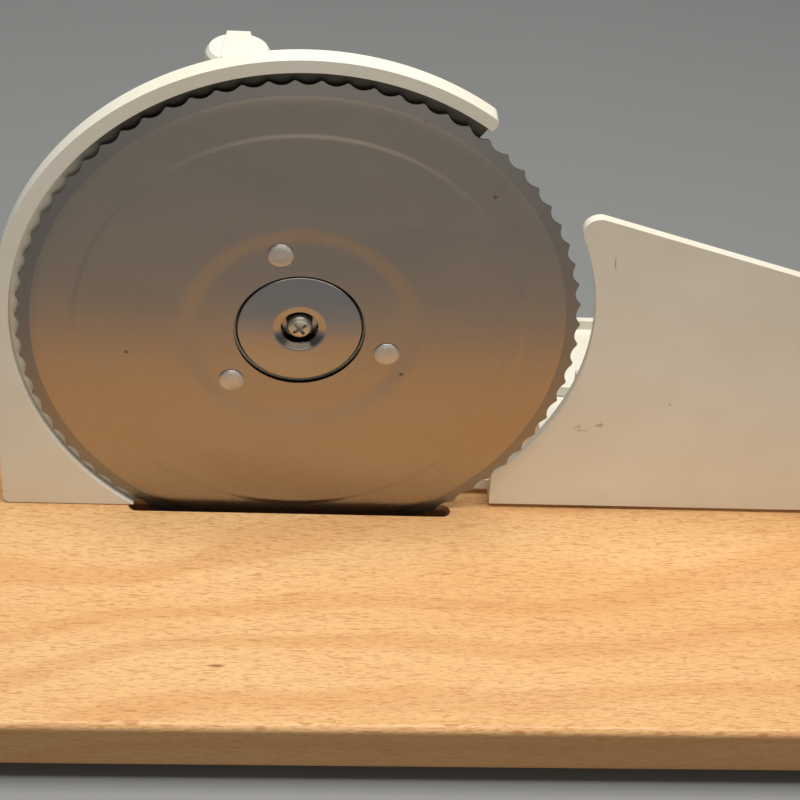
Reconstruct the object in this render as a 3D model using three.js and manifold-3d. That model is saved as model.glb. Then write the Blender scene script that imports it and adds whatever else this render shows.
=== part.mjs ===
// Hand-cranked bread slicer: a round blade in a white housing on a beech board.
// X runs along the board, Y runs from the bread side to the crank side, Z is up.
// Inside the machine group, X = 0 is the blade axis, Y = 0 is the blade's front face
// and Z = 0 is the table. The exported group stands on its bounding box's bottom centre.
import * as THREE from "three";
import { mergeVertices } from "three/addons/utils/BufferGeometryUtils.js";
import Module from "manifold-3d";

const wasm = await Module();
wasm.setup();

// ---- Driving dimensions, in millimetres ----

// Fits
const seatGap = 0.3; // between pieces that rest on each other
const runGap = 0.12; // radial, between pieces that turn or slide on each other
const boltGap = 0.3; // radial, around a screw or rivet shank
const overshoot = 1; // how far a cutting tool passes the face that it cuts

// Board
const boardLeft = 125; // from the blade axis to the left end
const boardRight = 225; // from the blade axis to the right end
const boardFront = 106; // from the blade's face to the front edge
const boardBack = 94; // from the blade's face to the back edge
const boardThickness = 19.3;
const boardCorner = 5;
const boardArris = 2.3;
const slotWidth = 6.6;
const slotFront = 3.2; // from the blade's face to the slot's front edge
const slotEndGap = 4; // between the blade's chord at the board top and the slot's end
const footHeight = 6;
const footRadius = 11;
const footBevel = 1.2;
const footInset = 24; // from the board's edges to a foot's centre
const footRecess = 3.4; // depth of the hole that hides a foot screw's head
const footScrewDepth = 11; // how far a foot screw reaches into the board
const boardScrewSink = 4; // from the board's underside to the recess left under a screw head
const guardScrewX = [-90, -70, -50];

// Blade
const bladeRadius = 95;
const bladeThickness = 1.2;
const bladeToothCount = 72;
const bladeScallopDepth = 1.8;
const bladeBevelWidth = 5.3;
const bladeEdge = 0.35; // thickness left at the ground edge
const bladeTipAngle = THREE.MathUtils.degToRad(3.3);
const bladeHoleRadius = 22;
const outerStepRadius = 76.4;
const outerStepWidth = 1.2;
const bladeRimSetback = 0.3; // the rim outside the outer step lies this far behind the ring inside it
const innerStepRadius = 40.8;
const innerStepWidth = 3;
const innerStepDepth = 1.3;
const bladeSink = 16.7; // how far the blade's edge reaches below the board's top
const rivetCircleRadius = 31.1;
const rivetCount = 3;
const rivetStartAngle = THREE.MathUtils.degToRad(103.9);
const rivetHeadRadius = 4.35;
const rivetHeadHeight = 0.8;
const rivetShankRadius = 2;
const rivetTail = 0.9;

// Gears
const gearModule = 1.25;
const bladeGearTeeth = 60;
const driveGearTeeth = 40;
const gearBacklash = 0.3;
const pressureAngle = THREE.MathUtils.degToRad(20);
const driveGearWidth = 5.2;
const gearLighteningCount = 5;
const gearLighteningCircle = 15;
const gearLighteningRadius = 4.5;
const crankAxisAngle = THREE.MathUtils.degToRad(162);

// Blade hub
const hubDiscRadius = 21.2;
const hubDiscThickness = 2.4;
const hubDiscRecess = 0.7; // behind the blade's centre face
const hubDiscEdge = 0.4;
const hubNeckRadius = 17.9;
const hubFlangeRadius = 20;
const hubFlangeThickness = 1.9;
const hubDimpleRadius = 8.85;
const hubDimpleDepth = 0.9;
const hubCupRadius = 6.2; // inside the pressed cup that holds the centre screw
const hubCupWall = 1.2;
const hubScrewSink = 1.6; // from the disc's face to the centre screw's head
const hubMountScrewCircle = 12;
const hubMountScrewCount = 3;
const hubMountDepth = 4; // how far a mounting screw reaches into the hub

// Blade guard
const guardClearance = 2; // from the blade's edge to the rim
const guardRimWall = 5.4;
const guardEndAngle = THREE.MathUtils.degToRad(54.4);
const guardFootInset = 0.6; // the foot's left side lies this far inside the rim's outer radius
const guardFootCorner = 2.5;
const guardFrontProud = 0.4; // in front of the blade's face
const guardFloorFront = 3.6; // from the blade's face to the floor behind the blade
const guardFloorThickness = 3;
const guardFloorRight = 46; // right edge of the floor, from the blade axis
const guardFloorRise = 38.8; // height above the blade axis where that edge starts to curve
const guardFloorBend = 7.6; // how far below its upper end that curve points
const guardFloorLap = 4; // the floor's upper end passes under the rim by this much
const guardFootFlangeLeft = 98;
const guardFootFlangeRight = 42;
const guardFootFlangeDepth = 14;
const guardFootFlangeHeight = 6;

// Gear housing
const housingWall = 3.5;
const gearRoom = 1.5; // between the gears' tips and the housing wall
const housingBackFront = 14.7; // from the blade's face to the inside of the back wall
const housingEarRadius = 5.5;
const housingEarThickness = 4;
const shaftBossRadius = 10;
const shaftBossBack = 33.5; // from the blade's face to the end of the crank boss

// Crank
const crankShaftRadius = 5;
const gripLift = 4.1; // between the board and the grip at its lowest
const crankArmThickness = 6;
const crankArmHubRadius = 13;
const crankArmTipRadius = 10;
const crankGap = 3.5; // between the boss and the arm
const shaftFlat = 3.8; // half the width across the flats that drive the arm
const crankScrewDepth = 11;
const washerThickness = 1.2;
const washerRadius = 8;
const bushWall = 2;
const bushFlangeThickness = 1.2;
const bushFlangeProud = 2; // beyond the bush's body
const frontBushLip = 0.6;
const gripPinRadius = 4;
const gripPinThread = 3;
const gripPinCollar = 2;
const gripPinCollarProud = 2.5;
const gripScrewRoom = 6; // depth of the recess in the grip's end
const gripScrewDepth = 9;
const gripScrewProud = 1.5; // the screw's head stands out beyond the pin by this much
const gripRadius = 13.5;
const gripEndRadius = 10.5;
const gripEdge = 1.5;
const gripLength = 80;
const gripSwellStart = 36; // where the grip reaches its full radius, from its front
const gripSwellEnd = 16; // where it narrows again, from its back
const gripRecessGap = 1.5; // around the screw's head in the grip's end

// Slice thickness control
const spindleX = -23;
const spindleRadius = 3;
const spindleWall = 2.8; // from the gear housing's back to the spindle
const columnRadius = 8;
const columnDrop = 18; // from the guard's top to the column's top
const columnClearance = 8.3; // from the pinion to the column's bottom
const columnWeb = 6; // thickness of the web between the column and the housing
const columnWebInset = [4, 6]; // the web stops short of the column's bottom and top
const bearingRadius = 5;
const bearingDepth = 5;
const bearingFlange = 1.2;
const bearingFlangeProud = 2;
const bearingFloor = 1.5;
const knobSkirtRadius = 11;
const knobTopRadius = 9.6;
const knobBevel = 1;
const knobHeight = 5.4;
const knobRoof = 0.8;
const knobGripLength = 17;
const knobGripNarrow = 6.9;
const knobGripWide = 11.4;
const knobGripHeight = 3.8;
const pinionModule = 1;
const pinionTeeth = 14;
const pinionWidth = 4.6;
const rackWidth = 4.4;
const rackBodyDepth = 6;
const rackSpare = [2.5, 3.5]; // rack beyond its travel at the bread side and at the crank side
const rackScrewSize = { head: 1.9, height: 1.4, shank: 0.9 };
const rackScrewReach = 3.4; // how far a rack screw goes into the rack
const rackScrewInset = [3.2, 3]; // from the carriage bar and from the rack's end
const rackLug = 6; // thickness of the carriage's lug behind the rack
const sliceSetting = 2.9; // slice thickness as stored
const sliceMost = 14;

// Fence
const fenceThickness = 3.4;
const fenceEndInset = 20; // from the board's right end
const fenceLift = 1.5; // above the board
const fenceStepHeight = 15.3; // height of the short upright end above the board
const fenceStepLean = 0.5; // how far that end leans back at its foot
const fenceArcX = 11.6; // centre of the hollow edge, from the blade axis
const fenceArcZ = 1.9;
const fenceArcInset = 6.7; // the hollow edge's radius is the blade's less this
const fencePeakAngle = THREE.MathUtils.degToRad(24.75); // where the hollow edge meets the top corner
const fencePeakCorner = 5.5;
const fenceSlope = 0.289; // fall of the top edge per unit of length
const fenceEndCorner = 12;
const fenceReturnDepth = 4;
const fenceReturnWidth = 2.5;
const fenceScrewSpread = 9; // from the rods' middle to each upper screw
const fenceScrewDrop = 8; // from the upright's top to the upper screws
const fenceScrewRise = 17.5; // from the bar's top to the lower screw
const fenceScrewReach = 2.4; // how far a fence screw goes into the fence
const carriageUprightHalfWidth = 17;
const carriageUprightHeight = 56.3; // the heights are above the board
const carriagePlate = 5.4;
const carriageBarDepth = 5.6;
const carriageBarHeight = 6.3;
const carriageBossDepth = 11.5;
const carriageBossHalfHeight = 6.4;

// Fence guide
const guideLeftReach = 24; // from the rods' middle to the guide's sides
const guideRightReach = 26;
const guideClearance = 2.5; // between the carriage at its farthest and the guide
const guideDepth = 52.1;
const hoodReach = 7.7; // the base's hood reaches this far over the carriage, in front of the guide
const hoodRoof = 2;
const hoodSide = 5.5;
const hoodSlotHeight = 7.1; // of the slot that the carriage's bar passes through, above the board
const guideCorner = 3;
const guideBaseHeight = 15.1; // the heights are above the board
const guideDeckHeight = 19.1;
const guideCapHeight = 23.9;
const guideLipHeight = 28.3;
const guideLipDepth = 2.5;
const guideCapSetback = 12.9; // from the deck's front to the cap's front
const capScrewInset = 5.5; // from the guide's sides
const capScrewReach = 12; // how far a cap screw goes into the base
const baseScrewReach = 9; // how far a board screw goes into the base
const rodRadius = 4;
const rodHeight = 9.3;
const rodOffset = 20; // from the blade's edge to the rods' middle
const rodSpacing = 24;
const rodSpare = 3.1; // how far the rods stand out of the guide at the thinnest slice
const rodFloor = 2.5; // material left in front of a rod's end

// Screws: head radius, head height, shank radius
const smallScrew = { head: 3.4, height: 2, shank: 1.6 };
const mediumScrew = { head: 4.35, height: 2.4, shank: 2.2 };

// Facets around small holes and screws, ordinary rounds and large rounds
const holeSides = 10;
const screwSides = 12;
const fineSides = 24;
const largeSides = 48;

// ---- Derived levels ----

const rackTravelIn = sliceSetting;
const rackTravelOut = sliceMost - sliceSetting;
const boardTop = footHeight + boardThickness;
const bladeCentreHeight = bladeRadius - bladeSink; // blade axis above the board's top
const bladeZ = boardTop + bladeCentreHeight;
const seatZ = boardTop + seatGap; // where pieces stand on the board
const bladeCentreFace = innerStepDepth;
const bladeCentreBack = bladeCentreFace + bladeThickness;
const guardInnerRadius = bladeRadius + guardClearance;
const guardOuterRadius = guardInnerRadius + guardRimWall;
const guardFootHalfWidth = guardOuterRadius - guardFootInset;
const guardBack = guardFloorFront + guardFloorThickness;
const housingBack = housingBackFront + housingWall;
const bladeGearRadius = (gearModule * bladeGearTeeth) / 2;
const driveGearRadius = (gearModule * driveGearTeeth) / 2;
const gearDistance = bladeGearRadius + driveGearRadius;
const crankX = gearDistance * Math.cos(crankAxisAngle);
const crankZ = bladeZ + gearDistance * Math.sin(crankAxisAngle);
const crankArmLength = crankZ - boardTop - gripRadius - gripLift;
const bladeGearTipRadius = bladeGearRadius + gearModule;
const driveGearTipRadius = driveGearRadius + gearModule;
const gearFront = bladeCentreBack + seatGap;
const driveGearFront = guardBack + 2 * seatGap;
const gearBack = driveGearFront + driveGearWidth;
const hubDiscFront = bladeCentreFace + hubDiscRecess;
const hubNeckFront = hubDiscFront + hubDiscThickness + seatGap;
const hubFlangeBack = housingBackFront - seatGap;
const hubFlangeFront = hubFlangeBack - hubFlangeThickness;
const armFront = shaftBossBack + crankGap;
const armBack = armFront + crankArmThickness;
const fenceBack = sliceSetting + fenceThickness;
const fenceArcRadius = bladeRadius - fenceArcInset;
const fenceRight = boardRight - fenceEndInset;
const fenceStepTop = fenceStepHeight - bladeCentreHeight;
const fenceStepAngle = Math.asin((fenceStepTop - fenceArcZ) / fenceArcRadius);
const fenceLeft = fenceArcX + fenceArcRadius * Math.cos(fenceStepAngle) + fenceStepLean;
const hubCupFloor = hubDiscFront + hubScrewSink + mediumScrew.height + seatGap;
const crankDrop = crankZ - bladeZ; // the crank axis from the blade axis
const guardFoot = seatGap - bladeCentreHeight; // the guard's underside from the blade axis
const spindleY = housingBack + spindleWall + spindleRadius;
const columnTop = guardOuterRadius - columnDrop;
const pinionBottom = seatZ + bearingFlange + 2 * seatGap;
const pinionTop = pinionBottom + pinionWidth;
const columnBottom = pinionTop + columnClearance - bladeZ;
const guideBaseTop = guideBaseHeight - bladeCentreHeight;
const guideDeckTop = guideDeckHeight - bladeCentreHeight;
const guideCapTop = guideCapHeight - bladeCentreHeight;
const guideLipTop = guideLipHeight - bladeCentreHeight;
const carriageUprightTop = carriageUprightHeight - bladeCentreHeight;
const carriageBarTop = carriageBarHeight - bladeCentreHeight;
const uprightFront = fenceBack + seatGap;
const uprightBack = uprightFront + carriagePlate;
const guideFront = uprightFront + carriageBossDepth + rackTravelOut + guideClearance;
const guideBack = guideFront + guideDepth;
const rodLevel = rodHeight - bladeCentreHeight;
const rodMiddle = bladeRadius + rodOffset;
const rodPlaces = [rodMiddle - rodSpacing / 2, rodMiddle + rodSpacing / 2];
const rodStart = uprightFront + rodFloor;
const rodTail = guideBack + rackTravelIn + rodSpare;
const guideLeft = rodMiddle - guideLeftReach;
const guideRight = rodMiddle + guideRightReach;

// ---- Materials ----

function finish(color, roughness, metalness) {
  return new THREE.MeshStandardMaterial({ color, roughness, metalness });
}
const whitePaint = finish(0xebe7da, 0.45, 0);
const whitePlastic = finish(0xf2f0e6, 0.4, 0);
const beech = finish(0xe0ae78, 0.55, 0);
const polishedSteel = finish(0xc6c6c8, 0.18, 1);
const brushedSteel = finish(0xb4b6ba, 0.35, 1);
const zincSteel = finish(0xa9abad, 0.4, 1);
const aluminium = finish(0xb8babd, 0.4, 1);
const brass = finish(0xb9975b, 0.35, 1);
const gearPlastic = finish(0xe9e6da, 0.5, 0);
const darkRubber = finish(0x2b2b2c, 0.85, 0);

// ---- Geometry helpers ----

function toSolid(geometry) {
  const bare = geometry.clone();
  bare.deleteAttribute("normal");
  bare.deleteAttribute("uv");
  const merged = mergeVertices(bare, 1e-4);
  const mesh = new wasm.Mesh({
    numProp: 3,
    vertProperties: new Float32Array(merged.attributes.position.array),
    triVerts: new Uint32Array(merged.index.array),
  });
  return new wasm.Manifold(mesh);
}

function toGeometry(solid) {
  const mesh = solid.getMesh();
  const geometry = new THREE.BufferGeometry();
  geometry.setAttribute("position", new THREE.BufferAttribute(mesh.vertProperties, 3));
  geometry.setIndex(new THREE.BufferAttribute(mesh.triVerts, 1));
  const flat = geometry.toNonIndexed();
  flat.computeVertexNormals();
  return flat;
}

function cut(geometry, ...tools) {
  let solid = toSolid(geometry);
  for (const tool of tools) solid = solid.subtract(toSolid(tool));
  return toGeometry(solid);
}

function join(geometry, ...others) {
  let solid = toSolid(geometry);
  for (const other of others) solid = solid.add(toSolid(other));
  return toGeometry(solid);
}

function overlapOf(geometry, other) {
  return toGeometry(toSolid(geometry).intersect(toSolid(other)));
}

// A box between two corners.
function block(x0, x1, y0, y1, z0, z1) {
  const box = new THREE.BoxGeometry(x1 - x0, y1 - y0, z1 - z0);
  return box.translate((x0 + x1) / 2, (y0 + y1) / 2, (z0 + z1) / 2);
}

// A cylinder along Y from yStart, and one along Z from zStart.
function rodY(radius, yStart, length, x = 0, z = 0, sides = fineSides) {
  const rod = new THREE.CylinderGeometry(radius, radius, length, sides);
  return rod.translate(x, yStart + length / 2, z);
}
function rodZ(radius, zStart, length, x = 0, y = 0, sides = fineSides) {
  const rod = new THREE.CylinderGeometry(radius, radius, length, sides);
  return rod.rotateX(Math.PI / 2).translate(x, y, zStart + length / 2);
}

// A closed [radius, level] profile turned about Y or about Z.
function turnedY(profile, sides = fineSides) {
  const points = profile.map(([radius, level]) => new THREE.Vector2(radius, level));
  return new THREE.LatheGeometry(points, sides);
}
function turnedZ(profile, sides = fineSides) {
  return turnedY(profile, sides).rotateX(Math.PI / 2);
}

// A shape drawn in X and Z, given depth from yStart towards +Y.
function slabY(shape, yStart, depth, curveSegments = 12) {
  const slab = new THREE.ExtrudeGeometry(shape, { depth, bevelEnabled: false, curveSegments });
  return slab.rotateX(Math.PI / 2).translate(0, yStart + depth, 0);
}
// A shape drawn in X and Y, given height from zStart.
function slabZ(shape, zStart, height, curveSegments = 12) {
  const slab = new THREE.ExtrudeGeometry(shape, { depth: height, bevelEnabled: false, curveSegments });
  return slab.translate(0, 0, zStart);
}

function outline(points) {
  return new THREE.Shape(points.map(([a, b]) => new THREE.Vector2(a, b)));
}

function polar(radius, angle) {
  return [radius * Math.cos(angle), radius * Math.sin(angle)];
}

// The outline around two discs, as a tight belt runs.
function beltShape(ax, ay, aRadius, bx, by, bRadius) {
  const heading = Math.atan2(by - ay, bx - ax);
  const lean = Math.acos((aRadius - bRadius) / Math.hypot(bx - ax, by - ay));
  const shape = new THREE.Shape();
  shape.absarc(ax, ay, aRadius, heading + lean, heading - lean + 2 * Math.PI, false);
  shape.absarc(bx, by, bRadius, heading - lean, heading + lean, false);
  return shape;
}

// An involute spur gear outline with a tooth centred on angle 0.
function gearShape(module, teeth) {
  const pitch = (module * teeth) / 2;
  const base = pitch * Math.cos(pressureAngle);
  const tip = pitch + module;
  const root = pitch - 1.25 * module;
  const involute = (angle) => Math.tan(angle) - angle;
  const halfAtPitch = (Math.PI * module - 2 * gearBacklash) / (4 * pitch);
  const halfAt = (radius) => {
    const reach = Math.acos(Math.min(1, base / radius));
    return halfAtPitch + involute(pressureAngle) - involute(reach);
  };
  const levels = [root, tip];
  const points = [];
  for (let tooth = 0; tooth < teeth; tooth++) {
    const middle = (tooth * 2 * Math.PI) / teeth;
    for (const level of levels) points.push(polar(level, middle - halfAt(level)));
    for (const level of [...levels].reverse()) points.push(polar(level, middle + halfAt(level)));
  }
  return outline(points);
}

// A rack outline whose pitch line is x = 0 and whose teeth point to -X, with a tooth at y = 0.
function rackShape(module, from, to, bodyDepth) {
  const pitch = Math.PI * module;
  const lean = Math.tan(pressureAngle);
  const halfAt = (height) => pitch / 4 - gearBacklash / 2 - height * lean;
  const tip = module * 0.9;
  const root = -1.25 * module;
  const points = [[bodyDepth, from]];
  const first = Math.ceil((from + pitch / 2) / pitch);
  const last = Math.floor((to - pitch / 2) / pitch);
  points.push([-root, from]);
  for (let tooth = first; tooth <= last; tooth++) {
    const middle = tooth * pitch;
    points.push([-root, middle - halfAt(root)]);
    points.push([-tip, middle - halfAt(tip)]);
    points.push([-tip, middle + halfAt(tip)]);
    points.push([-root, middle + halfAt(root)]);
  }
  points.push([-root, to]);
  points.push([bodyDepth, to]);
  return outline(points.reverse());
}

// A pan-head screw along Y with its head's top at y = 0 and its shank towards +Y.
function screwY(size, shankLength) {
  const shoulder = size.height;
  const profile = [
    [0, 0],
    [size.head * 0.7, 0],
    [size.head, size.height * 0.5],
    [size.head, shoulder],
    [size.shank, shoulder],
    [size.shank, shoulder + shankLength],
    [0, shoulder + shankLength],
  ];
  return turnedY(profile, screwSides);
}

const machine = new THREE.Group();

function add(name, geometry, material, x = 0, y = 0, z = 0, group = machine) {
  const mesh = new THREE.Mesh(geometry, material);
  mesh.name = name;
  mesh.position.set(x, y, z);
  group.add(mesh);
  return mesh;
}

// Pieces on the blade's axis, and pieces on the crank's axis.
const bladeAxis = new THREE.Group();
bladeAxis.position.set(0, 0, bladeZ);
machine.add(bladeAxis);
const crankAxis = new THREE.Group();
crankAxis.position.set(crankX, 0, crankZ);
machine.add(crankAxis);

// ---- Base: board, feet and their screws ----

const feet = [
  ["front_left", -boardLeft + footInset, -boardFront + footInset],
  ["front_right", boardRight - footInset, -boardFront + footInset],
  ["back_left", -boardLeft + footInset, boardBack - footInset],
  ["back_right", boardRight - footInset, boardBack - footInset],
];
const guardScrewY = guardBack + guardFootFlangeDepth / 2;
const boardScrewRecess = mediumScrew.height + boardScrewSink;
const guideScrewY = guideFront + guideDepth / 2;
const baseScrewY = [guideFront + guideDepth / 4, guideFront + (guideDepth * 3) / 4];

function roundedBoard() {
  const shape = new THREE.Shape();
  const left = -boardLeft + boardCorner;
  const right = boardRight - boardCorner;
  const front = -boardFront + boardCorner;
  const back = boardBack - boardCorner;
  shape.absarc(left, front, boardCorner, Math.PI, 1.5 * Math.PI, false);
  shape.absarc(right, front, boardCorner, 1.5 * Math.PI, 2 * Math.PI, false);
  shape.absarc(right, back, boardCorner, 0, 0.5 * Math.PI, false);
  shape.absarc(left, back, boardCorner, 0.5 * Math.PI, Math.PI, false);
  const slab = new THREE.ExtrudeGeometry(shape, {
    depth: boardThickness - 2 * boardArris,
    bevelEnabled: true,
    bevelThickness: boardArris,
    bevelSize: boardArris,
    bevelOffset: -boardArris,
    bevelSegments: 2,
    curveSegments: 3,
  });
  return slab.translate(0, 0, footHeight + boardArris);
}

function bladeSlot() {
  const chord = Math.sqrt(bladeRadius ** 2 - bladeCentreHeight ** 2);
  const endRadius = slotWidth / 2;
  const reach = chord + slotEndGap - endRadius;
  const middle = endRadius - slotFront;
  const shape = new THREE.Shape();
  shape.absarc(-reach, middle, endRadius, 0.5 * Math.PI, 1.5 * Math.PI, false);
  shape.absarc(reach, middle, endRadius, 1.5 * Math.PI, 2.5 * Math.PI, false);
  return slabZ(shape, footHeight - overshoot, boardThickness + 2 * overshoot, 6);
}

const boardHoles = [bladeSlot()];
const screwPaths = [
  ...guardScrewX.map((x) => [x, guardScrewY]),
  ...baseScrewY.map((y) => [rodMiddle, y]),
];
for (const [x, y] of screwPaths) {
  const through = boardThickness + 2 * overshoot;
  boardHoles.push(rodZ(mediumScrew.shank + boltGap, footHeight - overshoot, through, x, y, holeSides));
  boardHoles.push(
    rodZ(mediumScrew.head + boltGap, footHeight - overshoot, boardScrewRecess + overshoot, x, y, screwSides),
  );
}
for (const [, x, y] of feet) {
  const depth = footScrewDepth + seatGap + overshoot;
  boardHoles.push(rodZ(smallScrew.shank + boltGap, footHeight - overshoot, depth, x, y, holeSides));
}
boardHoles.push(
  rodZ(
    bearingRadius + boltGap,
    boardTop - bearingDepth - seatGap,
    bearingDepth + seatGap + overshoot,
    spindleX,
    spindleY,
  ),
);
add("base_board", cut(roundedBoard(), ...boardHoles), beech);

const footSeat = footHeight - seatGap;
const footProfile = [
  [smallScrew.shank + boltGap, footSeat],
  [smallScrew.shank + boltGap, footRecess],
  [smallScrew.head + 2 * boltGap, footRecess],
  [smallScrew.head + 2 * boltGap, 0],
  [footRadius - footBevel, 0],
  [footRadius, footBevel],
  [footRadius, footSeat],
  [smallScrew.shank + boltGap, footSeat],
];
for (const [corner, x, y] of feet) {
  add(`foot_${corner}`, turnedZ(footProfile), darkRubber, x, y);
  const shank = footHeight - footRecess + footScrewDepth;
  const screw = screwY(smallScrew, shank).rotateX(Math.PI / 2);
  const headFace = footRecess - seatGap - smallScrew.height;
  add(`foot_screw_${corner}`, screw, zincSteel, x, y, headFace);
}

// ---- Blade with its gear and rivets ----

function scallopOutline() {
  const pitch = (2 * Math.PI) / bladeToothCount;
  const points = [];
  for (let tooth = 0; tooth < bladeToothCount; tooth++) {
    const start = bladeTipAngle + tooth * pitch;
    for (const share of [0, 1 / 3, 2 / 3]) {
      const dip = bladeScallopDepth * (1 - (2 * share - 1) ** 2);
      points.push(polar(bladeRadius - dip, start + share * pitch));
    }
  }
  return outline(points);
}

function pressedDisc() {
  const outerStep = outerStepRadius - outerStepWidth;
  const innerStep = innerStepRadius - innerStepWidth;
  const rim = bladeRadius + overshoot;
  const ground = bladeRadius - bladeScallopDepth - bladeBevelWidth;
  const rimBack = bladeRimSetback + bladeThickness;
  const front = [
    [bladeHoleRadius, bladeCentreFace],
    [innerStep, bladeCentreFace],
    [innerStepRadius, 0],
    [outerStep, 0],
    [outerStepRadius, bladeRimSetback],
    [ground, bladeRimSetback],
    [rim, rimBack - bladeEdge],
  ];
  const back = [
    [rim, rimBack],
    [outerStepRadius, rimBack],
    [outerStep, bladeThickness],
    [innerStepRadius, bladeThickness],
    [innerStep, bladeCentreBack],
    [bladeHoleRadius, bladeCentreBack],
  ];
  return turnedY([...front, ...back, front[0]], largeSides);
}

const rivetAngles = [];
for (let index = 0; index < rivetCount; index++) {
  rivetAngles.push(rivetStartAngle + (index * 2 * Math.PI) / rivetCount);
}
const rivetHoles = rivetAngles.map((angle) => {
  const [x, z] = polar(rivetCircleRadius, angle);
  return rodY(rivetShankRadius + boltGap, -overshoot, gearBack + 2 * overshoot, x, z, holeSides);
});
const scallopedDisc = overlapOf(
  pressedDisc(),
  slabY(scallopOutline(), -overshoot, bladeCentreBack + 2 * overshoot),
);
add("slicing_blade", cut(scallopedDisc, ...rivetHoles), polishedSteel, 0, 0, 0, bladeAxis);

const bladeGear = slabY(gearShape(gearModule, bladeGearTeeth), gearFront, gearBack - gearFront);
bladeGear.rotateY(-crankAxisAngle);
const bladeGearBore = rodY(hubNeckRadius + runGap, gearFront - overshoot, gearBack + overshoot, 0, 0, largeSides);
const bladeGearRecess = rodY(
  hubDiscRadius + runGap * 4,
  gearFront - overshoot,
  hubNeckFront - gearFront + overshoot,
  0,
  0,
  largeSides,
);
add(
  "blade_gear",
  cut(bladeGear, bladeGearBore, bladeGearRecess, ...rivetHoles),
  gearPlastic,
  0,
  0,
  0,
  bladeAxis,
);

const rivetProfile = [
  [0, bladeCentreFace - seatGap / 2 - rivetHeadHeight],
  [rivetHeadRadius * 0.75, bladeCentreFace - seatGap / 2 - rivetHeadHeight],
  [rivetHeadRadius, bladeCentreFace - seatGap / 2 - rivetHeadHeight / 2],
  [rivetHeadRadius, bladeCentreFace - seatGap / 2],
  [rivetShankRadius, bladeCentreFace - seatGap / 2],
  [rivetShankRadius, gearBack + seatGap / 2],
  [rivetHeadRadius * 0.8, gearBack + seatGap / 2],
  [rivetHeadRadius * 0.7, gearBack + seatGap / 2 + rivetTail],
  [0, gearBack + seatGap / 2 + rivetTail],
];
rivetAngles.forEach((angle, index) => {
  const [x, z] = polar(rivetCircleRadius, angle);
  add(`blade_rivet_${index + 1}`, turnedY(rivetProfile, screwSides), brushedSteel, x, 0, z, bladeAxis);
});

// ---- Fixed hub that the blade turns on ----

function ring(count, start, radius) {
  const places = [];
  for (let index = 0; index < count; index++) {
    places.push(polar(radius, start + (index * 2 * Math.PI) / count));
  }
  return places;
}

const hubBore = mediumScrew.shank + boltGap;
const hubCupOuter = hubCupRadius + hubCupWall;
const hubCupBack = hubCupFloor + hubCupWall;
const hubProfile = [
  [hubBore, hubCupBack + seatGap],
  [hubCupOuter + seatGap, hubCupBack + seatGap],
  [hubCupOuter + seatGap, hubNeckFront],
  [hubNeckRadius, hubNeckFront],
  [hubNeckRadius, hubFlangeFront],
  [hubFlangeRadius, hubFlangeFront],
  [hubFlangeRadius, hubFlangeBack],
  [hubBore, hubFlangeBack],
  [hubBore, hubCupBack + seatGap],
];
const hubMountPlaces = ring(hubMountScrewCount, Math.PI / 2, hubMountScrewCircle);
const hubMountHoles = hubMountPlaces.map(([x, z]) =>
  rodY(
    smallScrew.shank + boltGap,
    hubFlangeBack - hubMountDepth - seatGap,
    hubMountDepth + housingWall + 2 * overshoot,
    x,
    z,
    holeSides,
  ),
);
add("blade_hub", cut(turnedY(hubProfile, largeSides), ...hubMountHoles), aluminium, 0, 0, 0, bladeAxis);

const hubDiscProfile = [
  [hubBore, hubCupFloor],
  [hubCupRadius, hubCupFloor],
  [hubCupRadius, hubDiscFront + hubDimpleDepth],
  [hubDimpleRadius, hubDiscFront],
  [hubDiscRadius - hubDiscEdge, hubDiscFront],
  [hubDiscRadius, hubDiscFront + hubDiscEdge],
  [hubDiscRadius, hubDiscFront + hubDiscThickness],
  [hubCupOuter, hubDiscFront + hubDiscThickness],
  [hubCupOuter, hubCupBack],
  [hubBore, hubCupBack],
  [hubBore, hubCupFloor],
];
add("hub_disc", turnedY(hubDiscProfile, largeSides), polishedSteel, 0, 0, 0, bladeAxis);

const hubScrewFront = hubDiscFront + hubScrewSink;
const hubScrewShank = hubFlangeBack - hubScrewFront - mediumScrew.height;
const hubScrew = screwY(mediumScrew, hubScrewShank);
add("hub_screw", hubScrew, brushedSteel, 0, hubScrewFront, 0, bladeAxis);

// ---- Blade guard: rim, floor behind the blade and foot flange ----

const bushOuterRadius = crankShaftRadius + bushWall;
const earOffset = gearRoom + housingWall + smallScrew.head + seatGap; // beyond the gears' tips
const earPlaces = [
  ...[-60, 60].map((degrees) =>
    polar(bladeGearTipRadius + earOffset, THREE.MathUtils.degToRad(degrees)),
  ),
  ...[100, 230].map((degrees) => {
    const [x, z] = polar(driveGearTipRadius + earOffset, THREE.MathUtils.degToRad(degrees));
    return [crankX + x, crankDrop + z];
  }),
];

function guardOutline() {
  const shape = new THREE.Shape();
  const corner = guardFootCorner;
  shape.absarc(0, 0, guardOuterRadius, guardEndAngle, Math.PI, false);
  shape.lineTo(-guardFootHalfWidth, guardFoot + corner);
  const cornerX = corner - guardFootHalfWidth;
  shape.absarc(cornerX, guardFoot + corner, corner, Math.PI, 1.5 * Math.PI, false);
  shape.lineTo(guardFloorRight, guardFoot);
  shape.lineTo(guardFloorRight, guardFloorRise);
  const [endX, endZ] = polar(guardInnerRadius - guardFloorLap, guardEndAngle);
  shape.quadraticCurveTo(guardFloorRight, endZ - guardFloorBend, endX, endZ);
  return shape;
}

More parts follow.
